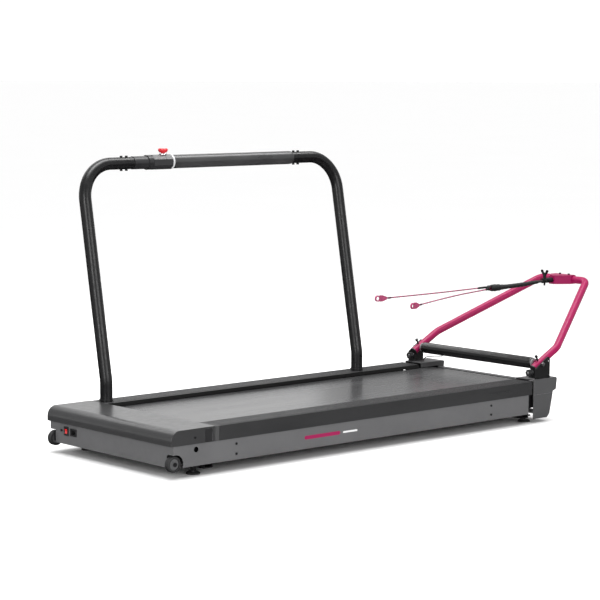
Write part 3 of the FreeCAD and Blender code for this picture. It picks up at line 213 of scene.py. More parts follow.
def wood_material():
    """Phenolic-faced plywood: black film above and pale veneer layers on the edges."""
    material, tree, shader = start_material("deck_wood")
    where = place(tree)
    layers = add(tree, "ShaderNodeTexWave", {"bands_direction": "Z"}, Vector=where, Scale=110.0, Distortion=1.5)
    veneer = mix(tree, layers.outputs[1], (0.33, 0.20, 0.10, 1), (0.52, 0.36, 0.20, 1))
    up = axis(tree, add(tree, "ShaderNodeNewGeometry").outputs["Normal"], "Z")
    film = ramp(tree, calc(tree, "ABSOLUTE", up), 0.7, 0.9)
    grain = mix(tree, noise(tree, 40.0, 5.0, stretch=(1, 12, 1)), (0.018, 0.013, 0.010, 1), (0.035, 0.025, 0.018, 1))
    tree.links.new(mix(tree, film, veneer, grain), shader.inputs["Base Color"])
    tree.links.new(ramp(tree, noise(tree, 30.0), 0.3, 0.7, 0.35, 0.6), shader.inputs["Roughness"])
    relief = add(tree, "ShaderNodeBump", Strength=0.2, Distance=0.0004, Height=noise(tree, 300.0))
    tree.links.new(relief.outputs[0], shader.inputs["Normal"])
    return material


def webbing_material(name, colour, along, pitch=0.0011):
    """Woven nylon: crossed ribs on a slightly fuzzy yarn, running along one axis."""
    material, tree, shader = start_material(name)
    where = place(tree)
    lines = []
    for letter, scale in ((along, 1.0), ("Y" if along != "Y" else "X", 0.6)):
        wave = calc(tree, "MULTIPLY", axis(tree, where, letter), 2.0 * math.pi / (pitch * scale))
        lines.append(calc(tree, "SINE", wave))
    weave = calc(tree, "MULTIPLY", lines[0], lines[1])
    shade = ramp(tree, weave, -1.0, 1.0)
    base = mix(tree, shade, rgba(colour, 0.6), rgba(colour, 1.5))
    tree.links.new(base, shader.inputs["Base Color"])
    tree.links.new(ramp(tree, noise(tree, 120.0), 0.3, 0.7, 0.55, 0.75), shader.inputs["Roughness"])
    shader.inputs["Sheen Weight"].default_value = 0.06
    shader.inputs["Sheen Roughness"].default_value = 0.4
    shader.inputs["Specular IOR Level"].default_value = 0.3
    height = calc(tree, "ADD", shade, noise(tree, 900.0))
    relief = add(tree, "ShaderNodeBump", Strength=0.5, Distance=0.0003, Height=height)
    tree.links.new(relief.outputs[0], shader.inputs["Normal"])
    return material


def rope_material(name, colour):
    """Braided yarn: fine slanted filaments along each strand."""
    material, tree, shader = start_material(name)
    filaments = noise(tree, 700.0, 3.0, stretch=(1.0, 3.0, 3.0))
    base = mix(tree, ramp(tree, filaments, 0.3, 0.7), rgba(colour, 0.65), rgba(colour, 1.25))
    tree.links.new(base, shader.inputs["Base Color"])
    tree.links.new(ramp(tree, filaments, 0.3, 0.7, 0.5, 0.8), shader.inputs["Roughness"])
    shader.inputs["Sheen Weight"].default_value = 0.1
    relief = add(tree, "ShaderNodeBump", Strength=0.6, Distance=0.0003, Height=filaments)
    tree.links.new(relief.outputs[0], shader.inputs["Normal"])
    return material


def foam_material(name, colour, roughness, cell=1500.0):
    """Skinned rubber foam: fine closed cells under a satin skin, with faint handling marks."""
    material, tree, shader = start_material(name)
    where = place(tree)
    cells = add(tree, "ShaderNodeTexVoronoi", Vector=where, Scale=cell).outputs["Distance"]
    marks = noise(tree, 14.0, 5.0, stretch=(0.5, 1, 1))
    base = mix(tree, ramp(tree, marks, 0.35, 0.7), rgba(colour, 0.85), rgba(colour, 1.25))
    tree.links.new(base, shader.inputs["Base Color"])
    tree.links.new(ramp(tree, marks, 0.3, 0.7, roughness - 0.06, roughness + 0.08), shader.inputs["Roughness"])
    shader.inputs["Specular IOR Level"].default_value = 0.5
    height = calc(tree, "ADD", cells, calc(tree, "MULTIPLY", noise(tree, 220.0), 0.6))
    relief = add(tree, "ShaderNodeBump", Strength=0.35, Distance=0.0003, Height=height)
    tree.links.new(relief.outputs[0], shader.inputs["Normal"])
    return material


def split_material(name, first, second, letter, level):
    """Two finishes on one node: the second where the given coordinate passes level."""
    material, tree, shader = start_material(name)
    where = axis(tree, place(tree), letter)
    beyond = calc(tree, "GREATER_THAN", where, level)
    two_finishes(tree, shader, beyond, first, second)
    return material


def two_finishes(tree, shader, factor, first, second):
    """first and second are (colour, roughness, metallic)."""
    speck = noise(tree, 500.0, 3.0)
    base = mix(tree, factor, rgba(first[0]), rgba(second[0]))
    varied = mix(tree, ramp(tree, noise(tree, 25.0, 4.0), 0.3, 0.7, 0.0, 0.25), base, (0.0, 0.0, 0.0, 1.0))
    tree.links.new(varied, shader.inputs["Base Color"])
    rough = calc(tree, "ADD", ramp(tree, factor, 0.0, 1.0, first[1], second[1]),
                 ramp(tree, speck, 0.3, 0.7, -0.05, 0.05))
    tree.links.new(rough, shader.inputs["Roughness"])
    tree.links.new(ramp(tree, factor, 0.0, 1.0, first[2], second[2]), shader.inputs["Metallic"])
    relief = add(tree, "ShaderNodeBump", Strength=0.12, Distance=0.0002, Height=speck)
    tree.links.new(relief.outputs[0], shader.inputs["Normal"])


def rail_material():
    """Grey extruded step rail: cover grey at its rear end, and painted shade on the wall beside the belt, near
    black.
    """
    material, tree, shader = start_material("step_rail")
    where = place(tree)
    low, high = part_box("step_rail_right")
    inner = high.y - 0.0035
    reach = calc(tree, "ABSOLUTE", calc(tree, "SUBTRACT", axis(tree, where, "Y"), MID_Y))
    inside = calc(tree, "LESS_THAN", reach, MID_Y - inner)
    rear = calc(tree, "LESS_THAN", axis(tree, where, "X"), low.x + 0.019)
    broad = noise(tree, 7.0, 4.0, stretch=(0.3, 1, 1))
    grey = mix(tree, ramp(tree, broad, 0.3, 0.7), (0.021, 0.021, 0.022, 1), (0.028, 0.028, 0.029, 1))
    grey = mix(tree, rear, grey, (0.052, 0.052, 0.053, 1))
    # Painted shade: the wall beside the belt is coloured near black.
    base = mix(tree, inside, grey, (0.004, 0.004, 0.004, 1))
    tree.links.new(base, shader.inputs["Base Color"])
    rough = ramp(tree, noise(tree, 45.0, 4.0, stretch=(0.2, 1, 1)), 0.3, 0.7, 0.36, 0.48)
    tree.links.new(rough, shader.inputs["Roughness"])
    shader.inputs["Specular IOR Level"].default_value = 0.35
    relief = add(tree, "ShaderNodeBump", Strength=0.1, Distance=0.0002, Height=noise(tree, 1300.0))
    tree.links.new(relief.outputs[0], shader.inputs["Normal"])
    return material


def wheel_material():
    """Rubber tyre round a lighter moulded hub."""
    material, tree, shader = start_material("wheel")
    low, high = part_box("wheel_right")
    centre = (low + high) / 2.0
    where = place(tree)
    across = calc(tree, "SUBTRACT", axis(tree, where, "X"), centre.x)
    up = calc(tree, "SUBTRACT", axis(tree, where, "Z"), centre.z)
    squared = calc(tree, "ADD", calc(tree, "MULTIPLY", across, across), calc(tree, "MULTIPLY", up, up))
    radius = calc(tree, "SQRT", squared)
    rim = (high.z - low.z) / 2.0 - 0.0085
    hub = calc(tree, "LESS_THAN", radius, rim)
    two_finishes(tree, shader, hub, ((0.022, 0.022, 0.023), 0.55, 0.0), ((0.11, 0.11, 0.113), 0.4, 0.0))
    return material


CHROME = ((0.75, 0.75, 0.77), 0.12, 1.0)
MAT = {
    "frame_black": surface("frame_black", (0.008, 0.008, 0.0085), 0.40, specular=0.32, grain=1200.0, bump=0.16,
                           wear=0.5, worn=(0.07, 0.07, 0.075)),
    "tube_black": surface("tube_black", (0.007, 0.007, 0.0075), 0.30, specular=0.36, grain=1300.0, bump=0.06),
    "body_grey": surface("body_grey", (0.125, 0.125, 0.128), 0.42, metallic=0.25, specular=0.4, grain=1500.0,
                         bump=0.05, variation=0.06, wear=0.5, worn=(0.30, 0.30, 0.31)),
    "cover_grey": surface("cover_grey", (0.030, 0.030, 0.031), 0.32, metallic=0.0, specular=0.45, coat=0.10,
                          grain=1500.0, bump=0.02, variation=0.04, scatter=0.03, wear=0.5, worn=(0.30, 0.30, 0.31)),
    "cover_front": surface("cover_front", (0.062, 0.062, 0.064), 0.36, specular=0.4, grain=1500.0, bump=0.03,
                           variation=0.04, scatter=0.03, wear=0.5, worn=(0.30, 0.30, 0.31)),
    "belt_black": belt_material(),
    "deck_wood": wood_material(),
    "steel": surface("steel", (0.50, 0.50, 0.51), 0.30, metallic=1.0, grain=700.0, bump=0.10, stretch=(1, 1, 6)),
    "screw_black": surface("screw_black", (0.018, 0.018, 0.019), 0.35, metallic=0.6, grain=900.0, bump=0.1),
    "chrome": surface("chrome", (0.75, 0.75, 0.77), 0.12, metallic=1.0, scatter=0.04, grain=500.0, bump=0.04),
    "rubber_black": surface("rubber_black", (0.014, 0.014, 0.014), 0.72, specular=0.35, grain=1100.0, bump=0.25),
    "motor_black": surface("motor_black", (0.022, 0.022, 0.024), 0.45, grain=600.0, bump=0.2),
    "aluminium": surface("aluminium", (0.58, 0.58, 0.60), 0.38, metallic=1.0, grain=420.0, bump=0.15,
                         stretch=(8, 1, 1)),
    "magenta": surface("magenta", (0.27, 0.006, 0.066), 0.36, specular=0.25, coat=0.0, grain=1300.0, bump=0.05,
                       variation=0.05),
    "magenta_dark": surface("magenta_dark", (0.26, 0.004, 0.068), 0.36, specular=0.22, coat=0.0, grain=1300.0,
                            bump=0.05, variation=0.05),
    "plastic_black": surface("plastic_black", (0.014, 0.014, 0.015), 0.42, specular=0.45, grain=1600.0, bump=0.2),
    "housing_black": surface("housing_black", (0.022, 0.022, 0.024), 0.38, grain=1600.0, bump=0.15, wear=0.4,
                             worn=(0.14, 0.14, 0.14)),
    "foam_black": foam_material("foam_black", (0.005, 0.005, 0.005), 0.20),
    "grip_black": foam_material("grip_black", (0.036, 0.036, 0.037), 0.30, 900.0),
    "webbing_black": webbing_material("webbing_black", (0.007, 0.007, 0.0075), "X"),
    "cord_pink": rope_material("cord_pink", (0.36, 0.022, 0.105)),
    "cord_dark": rope_material("cord_dark", (0.07, 0.012, 0.03)),
    "hook_pink": surface("hook_pink", (0.36, 0.050, 0.130), 0.42, specular=0.35, grain=900.0, bump=0.15),
    "switch_red": surface("switch_red", (0.55, 0.012, 0.015), 0.22, specular=0.5, coat=0.4, grain=900.0, bump=0.04),
    "stop_red": surface("stop_red", (0.60, 0.022, 0.030), 0.34, specular=0.45, grain=1100.0, bump=0.08),
    "collar_grey": split_material("collar_grey", ((0.024, 0.024, 0.026), 0.4, 0.2),
                                  ((0.58, 0.58, 0.59), 0.3, 0.0), "X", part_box("estop_housing")[1].x),
    "foot": split_material("foot", ((0.014, 0.014, 0.014), 0.6, 0.0), CHROME, "Z", 0.0102),
    "wheel": wheel_material(),
    "step_rail": rail_material(),
}
NODE_FINISH = {
    "wheel_right": "wheel", "wheel_left": "wheel",
    "foot_rear_right": "foot", "foot_rear_left": "foot", "foot_front_right": "foot", "foot_front_left": "foot",
    "foot_nuts": "screw_black", "wheel_brackets": "frame_black", "front_cover": "cover_front",
    "step_rail_right": "step_rail", "step_rail_left": "step_rail",
    "estop_housing": "housing_black", "cover_screws": "screw_black", "handrail_bolts": "screw_black",
    "head_screws": "screw_black", "pivot_bolts": "steel", "wing_bolt": "screw_black",
}


def finish_nodes():
    """Give every CAD node the finish of its slot, or its own."""
    slots = {part["node"]: part["material_slot"] for part in frame["record"]["subparts"]}
    for name in frame["nodes"]:
        obj = bpy.data.objects[name]
        finish = NODE_FINISH.get(name, slots[name])
        for k in range(len(obj.material_slots)):
            obj.material_slots[k].material = MAT[finish]


finish_nodes()


# ---- mesh helpers ---------------------------------------------------------------------------
def mesh_object(name, verts, faces, material, body, smooth=True):
    data = bpy.data.meshes.new(name)
    data.from_pydata([tuple(v) for v in verts], [], faces)
    data.materials.append(material)
    for polygon in data.polygons:
        polygon.use_smooth = smooth
    obj = bpy.data.objects.new(name, data)
    bpy.context.collection.objects.link(obj)
    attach(obj, body)
    return obj


def frame_along(points):
    """A direction and two cross directions at each point, turned as little as possible."""
    result = []
    up = Vector((0, 0, 1))
    for k in range(len(points)):
        ahead = points[min(k + 1, len(points) - 1)] - points[max(k - 1, 0)]
        ahead.normalize()
        side = up.cross(ahead)
        side = side.normalized() if side.length > 1e-6 else Vector((0, 1, 0))
        result.append((ahead, side, ahead.cross(side)))
    return result


def tube(points, radii, sides, base=0, cap=True):
    """Vertices and faces of a tube along points; radii has one value or (across, up) pair each."""
    verts, faces = [], []
    for (_, side, up), point, radius in zip(frame_along(points), points, radii):
        across, high = radius if isinstance(radius, tuple) else (radius, radius)
        for k in range(sides):
            turn = 2.0 * math.pi * k / sides
            verts.append(point + side * (across * math.cos(turn)) + up * (high * math.sin(turn)))
    for ring in range(len(points) - 1):
        for k in range(sides):
            a = base + ring * sides + k
            b = base + ring * sides + (k + 1) % sides
            faces.append((a, b, b + sides, a + sides))
    if cap:
        faces.append(tuple(base + k for k in reversed(range(sides))))
        faces.append(tuple(base + (len(points) - 1) * sides + k for k in range(sides)))
    return verts, faces


def spline_curve(name, route, radius=0.0):
    """A NURBS curve with the route's points as its control points."""
    data = bpy.data.curves.new(name, "CURVE")
    data.dimensions = "3D"
    data.resolution_u = 24
    spline = data.splines.new("NURBS")
    spline.points.add(len(route) - 1)
    for point, place_at in zip(spline.points, route):
        point.co = (*place_at, 1.0)
    spline.order_u = 3
    spline.use_endpoint_u = True
    data.bevel_depth = radius
    data.bevel_resolution = 5
    data.use_fill_caps = True
    return bpy.data.objects.new(name, data)


def spline_points(route):
    """The points of the route's own NURBS spline."""
    helper = spline_curve("route_helper", route)
    mesh = bpy.data.meshes.new_from_object(helper)
    points = [v.co.copy() for v in mesh.vertices]
    bpy.data.meshes.remove(mesh)
    curve = helper.data
    bpy.data.objects.remove(helper)
    bpy.data.curves.remove(curve)
    return points


def spread_evenly(points, step):
    """Points a fixed step apart along a line."""
    length = sum((b - a).length for a, b in zip(points, points[1:]))
    count = max(2, round(length / step))
    result, target, walked = [points[0].copy()], length / count, 0.0
    for a, b in zip(points, points[1:]):
        run = (b - a).length
        while walked + run >= target - 1e-9 and len(result) < count:
            result.append(a + (b - a) * ((target - walked) / run))
            target += length / count
        walked += run
    result.append(points[-1].copy())
    return result


# ---- tether cords ---------------------------------------------------------------------------
def make_tether_cord(side):
    """A rope of three twisted strands, one of them dark, along the cord's spline."""
    name = "rope_" + side
    pitch = 0.028
    line = spread_evenly(spline_points(CORD_ROUTE[side]), 0.0018)
    frames = frame_along(line)
    strand = CORD_DIAMETER * 0.262
    offset = CORD_DIAMETER / 2.0 - strand
    verts, faces, dark = [], [], []
    for k in range(3):
        centres = []
        for n, point in enumerate(line):
            turn = 2.0 * math.pi * (n * 0.0018 / pitch + k / 3.0)
            _, across, up = frames[n]
            centres.append(point + across * (offset * math.cos(turn)) + up * (offset * math.sin(turn)))
        more, quads = tube(centres, [strand] * len(centres), 8, len(verts))
        verts += more
        faces += quads
        dark += [k == 2] * len(quads)
    rope = mesh_object(name, verts, faces, MAT["cord_pink"], "tether")
    rope.data.materials.append(MAT["cord_dark"])
    for polygon, is_dark in zip(rope.data.polygons, dark):
        polygon.material_index = 1 if is_dark else 0
    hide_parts("tether_cord_" + side)
    return rope, line


def sleeve_on(line, start, length, radius, name, material, ends=0.6):
    """A tapered sleeve over part of a cord, between two distances from its exit."""
    inside, walked = [], 0.0
    for a, b in zip(line, line[1:]):
        if start <= walked <= start + length:
            inside.append(a)
        walked += (b - a).length
    radii = []
    for k in range(len(inside)):
        share = k / max(1, len(inside) - 1)
        radii.append(radius * (ends + (1.0 - ends) * min(1.0, 6.0 * share, 6.0 * (1.0 - share))))
    verts, faces = tube(inside, radii, 16)
    return mesh_object(name, verts, faces, material, "tether")


ropes = {side: make_tether_cord(side) for side in ("right", "left")}
stub_left = sleeve_on(ropes["left"][1], 0.0, 0.052, 0.0048, "cord_sleeve_left", MAT["webbing_black"])
stub_right = sleeve_on(ropes["right"][1], 0.0, 0.018, 0.0048, "cord_sleeve_right", MAT["webbing_black"])
whip_right = sleeve_on(ropes["right"][1], CORD_LENGTH["right"] - 0.022, 0.020, 0.0042, "cord_whipping_right",
                       MAT["cord_dark"])
whip_left = sleeve_on(ropes["left"][1], CORD_LENGTH["left"] - 0.022, 0.020, 0.0042, "cord_whipping_left",
                      MAT["cord_dark"])


def make_sensor_cable():
    cable = spline_curve("sensor_lead", CABLE_ROUTE, CABLE_DIAMETER / 2.0)
    bpy.context.collection.objects.link(cable)
    cable.data.materials.append(MAT["rubber_black"])
    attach(cable, "root")
    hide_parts("sensor_cable")


make_sensor_cable()


# ---- tether strap ---------------------------------------------------------------------------
def strap_line(share):
    """Centre of the strap from the wing bolt, share 0, to the far end of its loop, share 1."""
    low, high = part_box("tether_strap")
    start = Vector((high.x - 0.012, MID_Y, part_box("strap_coupling")[0].z + 0.011))
    end = Vector((low.x, MID_Y, start.z - 0.0105))
    point = start.lerp(end, share)
    point.z -= 0.0045 * math.sin(math.pi * share)
    return point


def make_strap():
    """Folded webbing sleeve: flat at the bolt, round in the middle, bulky before its loop."""
    stations = [(0.045, 0.0100, 0.0038), (0.09, 0.0108, 0.0050), (0.16, 0.0105, 0.0080), (0.30, 0.0112, 0.0090),
                (0.50, 0.0118, 0.0095), (0.66, 0.0125, 0.0096), (0.76, 0.0150, 0.0112), (0.82, 0.0172, 0.0142),
                (0.88, 0.0176, 0.0150), (0.93, 0.0160, 0.0138), (0.955, 0.0120, 0.0105)]
    points, radii, count = [], [], 150
    for k in range(count + 1):
        share = stations[0][0] + (stations[-1][0] - stations[0][0]) * k / count
        for (s0, a0, b0), (s1, a1, b1) in zip(stations, stations[1:]):
            if s0 <= share <= s1 + 1e-9:
                blend = (share - s0) / (s1 - s0)
                blend = blend * blend * (3.0 - 2.0 * blend)
                crease = 1.0 + 0.03 * math.sin(share * 95.0) * (1.0 if share > 0.12 else 0.0)
                radii.append(((a0 + (a1 - a0) * blend) * crease, (b0 + (b1 - b0) * blend) * crease))
                break
        points.append(strap_line(share))
    verts, faces = tube(points, radii, 28)
    strap = mesh_object("strap_sleeve", verts, faces, MAT["webbing_black"], "tether")
    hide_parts("tether_strap")
    return strap


def make_eye():
    """The strap's end turned round the wing bolt: a flat webbing ring in the coupling's fork."""
    low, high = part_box("wing_bolt")
    centre = Vector(((low.x + high.x) / 2.0, (low.y + high.y) / 2.0, strap_line(0.0).z))
    verts, faces = [], []
    around = 40
    for k in range(around):
        turn = 2.0 * math.pi * k / around
        out = Vector((math.cos(turn), math.sin(turn), 0.0))
        for radius, height in ((0.0043, -0.0034), (0.0112, -0.0034), (0.0118, -0.0024), (0.0118, 0.0024),
                               (0.0112, 0.0034), (0.0043, 0.0034)):
            verts.append(centre + out * radius + Vector((0, 0, height)))
    for k in range(around):
        for n in range(6):
            a = k * 6 + n
            b = k * 6 + (n + 1) % 6
            c = ((k + 1) % around) * 6
            faces.append((a, b, c + (n + 1) % 6, c + n))
    return mesh_object("strap_eye", verts, faces, MAT["webbing_black"], "tether")


def make_loop():
    """The cord eye at the strap's far end: a stitched webbing loop round a magenta thimble."""
    low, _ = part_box("tether_strap")
    centre = Vector((low.x + 0.017, MID_Y, strap_line(0.975).z))
    pieces = []
    for name, wide, high, thick, half, finish, slot in (
            ("strap_loop", 0.0165, 0.0098, 0.0030, 0.0105, "webbing_black", "webbing_black"),
            ("loop_thimble", 0.0125, 0.0060, 0.0014, 0.0080, "magenta", "magenta")):
        verts, faces = [], []
        around = 48
        for k in range(around):
            turn = 2.0 * math.pi * k / around
            out = Vector((wide * math.cos(turn), 0.0, high * math.sin(turn)))
            shell = out.normalized() * thick / 2.0
            for radial, across in ((-1, -1), (-1, 1), (1, 1), (1, -1)):
                verts.append(centre + out + shell * radial + Vector((0, half * across, 0)))
        for k in range(around):
            for n in range(4):
                a = k * 4
                b = ((k + 1) % around) * 4
                faces.append((a + n, a + (n + 1) % 4, b + (n + 1) % 4, b + n))
        piece = mesh_object(name, verts, faces, MAT[finish], "tether")
        bevel = piece.modifiers.new("rounding", "BEVEL")
        bevel.width = 0.0006
        bevel.segments = 2
        bevel.limit_method = "ANGLE"
        pieces.append(piece)
    return pieces


def make_stitches():
    """Rows of box stitching across the strap, on its top and both sides."""
    verts, faces = [], []
    for share in (0.075, 0.085, 0.70, 0.712, 0.724, 0.915, 0.925):
        centre = strap_line(share)
        for k in range(-4, 5):
            y = k * 0.0021
            wide = 0.0117 if share < 0.8 else 0.0160
            tall = 0.0050 if share < 0.2 else (0.0098 if share < 0.8 else 0.0142)
            level = tall * math.sqrt(max(0.0, 1.0 - (y / wide) ** 2))
            for sign in (1.0, -1.0):
                start = len(verts)
                for dx, dy in ((-0.0003, -0.0008), (0.0003, -0.0008), (0.0003, 0.0008), (-0.0003, 0.0008)):
                    verts.append(centre + Vector((dx, y + dy, sign * (level + 0.0001))))
                for dx, dy in ((-0.0002, -0.0006), (0.0002, -0.0006), (0.0002, 0.0006), (-0.0002, 0.0006)):
                    verts.append(centre + Vector((dx, y + dy, sign * (level + 0.0006))))
                faces.append((start + 4, start + 5, start + 6, start + 7))
                faces.append((start + 3, start + 2, start + 1, start))
                for n in range(4):
                    m = (n + 1) % 4
                    faces.append((start + n, start + m, start + 4 + m, start + 4 + n))
    return mesh_object("strap_stitches", verts, faces, MAT["rubber_black"], "tether")


make_strap()
make_eye()
make_loop()
make_stitches()


# ---- foam bar and handrail grip -------------------------------------------------------------
def soft_sleeve(node, letter, material, body, ripple, name, end_taper):
    """A padded sleeve in a node's own space, round one axis, with crowned ends and slight ripples."""
    low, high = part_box(node)
    centre = (low + high) / 2.0
    length = (high - low)["XYZ".index(letter)]
    radius = (high.z - low.z) / 2.0
    direction = Vector((1, 0, 0)) if letter == "X" else Vector((0, 1, 0))
    start = centre - direction * length / 2.0
    sides, count = 64, 160
    profile = []
    for k in range(count + 1):
        share = k / count
        at = share * length
        edge = min(at, length - at)
        crown = 1.0 - end_taper * math.exp(-edge / 0.0035)
        wave = 1.0 - ripple * (0.5 + 0.5 * math.sin(at * 61.0) * math.sin(at * 23.0 + 1.0))
        profile.append((at, radius * crown * wave))
    verts, faces = [], []
    cross = Vector((0, 0, 1))
    other = direction.cross(cross)
    for at, size in profile:
        for k in range(sides):
            turn = 2.0 * math.pi * k / sides
            verts.append(start + direction * at + cross * (size * math.cos(turn)) + other * (size * math.sin(turn)))
    for ring in range(count):
        for k in range(sides):
            a = ring * sides + k
            b = ring * sides + (k + 1) % sides
            faces.append((a, b, b + sides, a + sides))
    faces.append(tuple(range(sides)))
    faces.append(tuple(count * sides + k for k in reversed(range(sides))))
    piece = mesh_object(name, verts, faces, MAT[material], body)
    bm = bmesh.new()
    bm.from_mesh(piece.data)
    bmesh.ops.recalc_face_normals(bm, faces=bm.faces)
    bm.to_mesh(piece.data)
    bm.free()
    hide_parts(node)
    return piece


soft_sleeve("cross_bar_foam", "Y", "foam_black", "root", 0.012, "foam_roll", 0.10)
soft_sleeve("handrail_grip", "X", "grip_black", "root", 0.006, "grip_sleeve", 0.07)


# ---- small fittings -------------------------------------------------------------------------
def turned_ring(name, centre, letter, profile, material, body, sides=40):
    """A ring turned about an axis; profile is (radius, distance along the axis) pairs, closed."""
    direction = Vector([1.0 if letter == one else 0.0 for one in "XYZ"])
    cross = Vector((0, 1, 0)) if letter == "Z" else Vector((0, 0, 1))
    other = direction.cross(cross)
    verts, faces = [], []
    for k in range(sides):
        turn = 2.0 * math.pi * k / sides
        out = cross * math.cos(turn) + other * math.sin(turn)
        verts += [centre + out * radius + direction * at for radius, at in profile]
    count = len(profile)
    for k in range(sides):
        here, there = k * count, ((k + 1) % sides) * count
        faces += [(here + n, here + (n + 1) % count, there + (n + 1) % count, there + n) for n in range(count)]
    return mesh_object(name, verts, faces, MAT[material], body, smooth=False)


def washer_profile(inner, outer, thick, round_off=0.0004):
    return [(inner, 0.0), (outer - round_off, 0.0), (outer, round_off), (outer, thick - round_off),
            (outer - round_off, thick), (inner, thick)]


def make_fittings():
    """Washers and caps of the hand knobs, end collars of the foam bar, ring under the stop button."""
    for side in ("right", "left"):
        low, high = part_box("lock_knob_" + side)
        centre = Vector((low.x, (low.y + high.y) / 2.0, (low.z + high.z) / 2.0))
        turned_ring("knob_cap_" + side, centre - Vector((0.0008, 0, 0)), "X", washer_profile(0.0, 0.0052, 0.0012),
                    "steel", "lock_knob_" + side)
        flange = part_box("upright_plates")[0].x
        turned_ring("knob_washer_" + side, Vector((flange - 0.0018, centre.y, centre.z)), "X",
                    washer_profile(0.0083, 0.0125, 0.0015), "steel", "lock_knob_" + side)
    low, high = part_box("cross_bar_foam")
    level = (low.z + high.z) / 2.0
    for name, y in (("foam_collar_right", low.y - 0.0085), ("foam_collar_left", high.y + 0.0005)):
        turned_ring(name, Vector(((low.x + high.x) / 2.0, y, level)), "Y",
                    washer_profile(0.0142, 0.0200, 0.0080, 0.001), "collar_plain", "root")
    low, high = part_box("estop_button")
    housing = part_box("estop_housing")[1].z
    turned_ring("stop_collar", Vector(((low.x + high.x) / 2.0, (low.y + high.y) / 2.0, housing - 0.0032)), "Z",
                washer_profile(0.0151, 0.0168, 0.0042), "chrome", "root")


def make_recess_shade_plates():
    """Near-black plates in the recesses at the two front corners of the rear cover, as painted shade."""
    low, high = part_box("rear_cover")
    for name, face, inward in (("recess_shade_right", low.y, 1.0), ("recess_shade_left", high.y, -1.0)):
        verts = []
        for depth, inset in ((0.0003, 0.0008), (0.0009, 0.0)):
            for x, z in ((0.1545, low.z + 0.0003), (0.1875, low.z + 0.0003), (0.1875, high.z - 0.0065),
                         (0.1545, high.z - 0.0065)):
                shift = Vector((-inset if x > 0.17 else inset, 0, -inset if z > low.z + 0.02 else inset))
                verts.append(Vector((low.x + x, face + inward * depth, z)) + shift)
        faces = [(0, 1, 2, 3), (7, 6, 5, 4)] + [(n, 4 + n, 4 + (n + 1) % 4, (n + 1) % 4) for n in range(4)]
        mesh_object(name, verts, faces, MAT["plastic_black"], "root", smooth=False)


MAT["collar_plain"] = surface("collar_plain", (0.20, 0.20, 0.205), 0.38, grain=900.0, bump=0.1)
make_fittings()
make_recess_shade_plates()


# ---- trim on the right skirt ----------------------------------------------------------------
def make_trim():
    """Two plain stripes on the near skirt, in the machine's own two accent colours."""
    low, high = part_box("side_skirts")
    face = low.y - 0.0002
    start = low.x + 0.335 * (high.x - low.x)
    for name, x0, length, height, z, finish in (("skirt_stripe", start, 0.180, 0.014, low.z + 0.042, "magenta"),
                                                ("skirt_dash", start + 0.195, 0.075, 0.007, low.z + 0.042, "pale")):
        radius = height / 2.0
        outline = []
        for k in range(13):
            turn = math.pi / 2.0 + math.pi * k / 12
            outline.append((x0 + radius + radius * math.cos(turn), z + radius * math.sin(turn)))
        for k in range(13):
            turn = -math.pi / 2.0 + math.pi * k / 12
            outline.append((x0 + length - radius + radius * math.cos(turn), z + radius * math.sin(turn)))
        verts = [Vector((x, face, h)) for x, h in outline] + [Vector((x, low.y + 0.0001, h)) for x, h in outline]
        count = len(outline)
        faces = [tuple(range(count)), tuple(count + k for k in reversed(range(count)))]
        faces += [(k, k + count, (k + 1) % count + count, (k + 1) % count) for k in range(count)]
        mesh_object(name, verts, faces, MAT[finish], "root", smooth=False)


MAT["pale"] = surface("pale_trim", (0.62, 0.62, 0.62), 0.45, grain=900.0, bump=0.05)
make_trim()


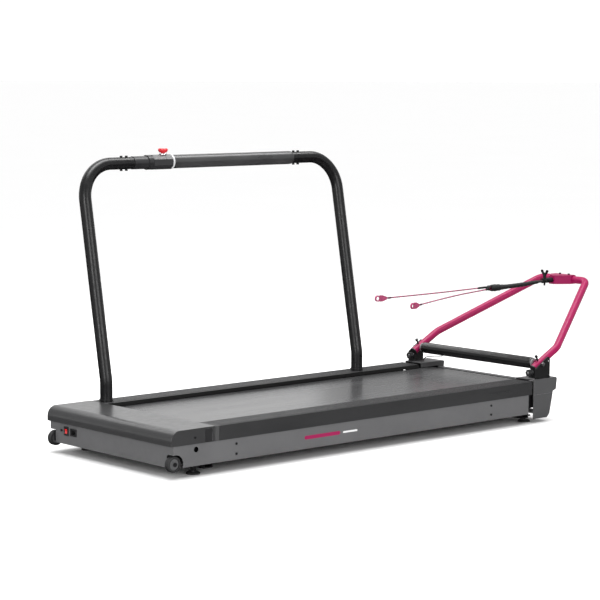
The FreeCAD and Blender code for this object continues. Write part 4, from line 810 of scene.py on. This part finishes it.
# ---- floor, light and world -----------------------------------------------------------------
DAYLIGHT = 2.0
SKY = 0.42
LIGHTS = (
    ("softbox_top", (0.3, 0.2, 3.6), (0.3, 0.0, 0.0), (4.6, 0.9), 135.0),
    ("softbox_high", (0.2, 3.0, 2.8), (0.2, 0.0, 0.2), (4.6, 0.7), 30.0),
    ("softbox_behind", (1.26, 3.55, 1.3), (0.0, 0.0, 0.3), (3.0, 2.2), 12.5),
    ("softbox_rear", (-3.8, -1.5, 1.3), (-1.2, -0.3, 0.1), (1.2, 1.8), 40.0),
    ("softbox_right", (-0.6, -4.5, 1.6), (-0.3, 0.0, 0.2), (3.0, 1.6), 64.0),
)


def make_studio():
    """Plain white floor to the horizon, daylight from above, and softboxes round the machine."""
    size = 400.0
    data = bpy.data.meshes.new("floor")
    data.from_pydata([(-size, -size, 0), (size, -size, 0), (size, size, 0), (-size, size, 0)], [], [(0, 1, 2, 3)])
    floor = bpy.data.objects.new("floor", data)
    bpy.context.collection.objects.link(floor)
    floor.visible_glossy = False
    material, tree, shader = start_material("floor")
    tone = mix(tree, noise(tree, 0.6), (0.94, 0.94, 0.94, 1), (0.96, 0.96, 0.96, 1))
    tree.links.new(tone, shader.inputs["Base Color"])
    shader.inputs["Roughness"].default_value = 0.9
    shader.inputs["Specular IOR Level"].default_value = 0.1
    data.materials.append(material)
    for name, where, aim, extent, power in LIGHTS:
        light = bpy.data.lights.new(name, "AREA")
        light.shape = "RECTANGLE"
        light.size, light.size_y = extent
        light.energy = power
        hang_lamp(name, light, where, aim)
    daylight = bpy.data.lights.new("daylight", "SUN")
    daylight.energy = DAYLIGHT
    daylight.angle = math.radians(60.0)
    hang_lamp("daylight", daylight, (0.0, 0.0, 6.0), (0.0, 0.3, 0.0))
    world = bpy.data.worlds.new("studio")
    bpy.context.scene.world = world
    world.use_nodes = True
    tree = world.node_tree
    height = axis(tree, add(tree, "ShaderNodeTexCoord").outputs["Generated"], "Z")
    above = ramp(tree, height, 0.05, 0.12, 1.08, SKY)
    below = ramp(tree, height, -0.05, -0.02, 0.0, 1.0)
    background = tree.nodes["Background"]
    background.inputs["Color"].default_value = (1.0, 1.0, 1.0, 1.0)
    tree.links.new(calc(tree, "MULTIPLY", above, below), background.inputs["Strength"])
    bpy.context.scene.view_settings.view_transform = "Standard"


def hang_lamp(name, light, where, aim):
    lamp = bpy.data.objects.new(name, light)
    bpy.context.collection.objects.link(lamp)
    lamp.location = where
    aimed = Vector(aim) - Vector(where)
    lamp.rotation_mode = "QUATERNION"
    lamp.rotation_quaternion = aimed.to_track_quat("-Z", "Y")
    lamp.visible_camera = False


make_studio()
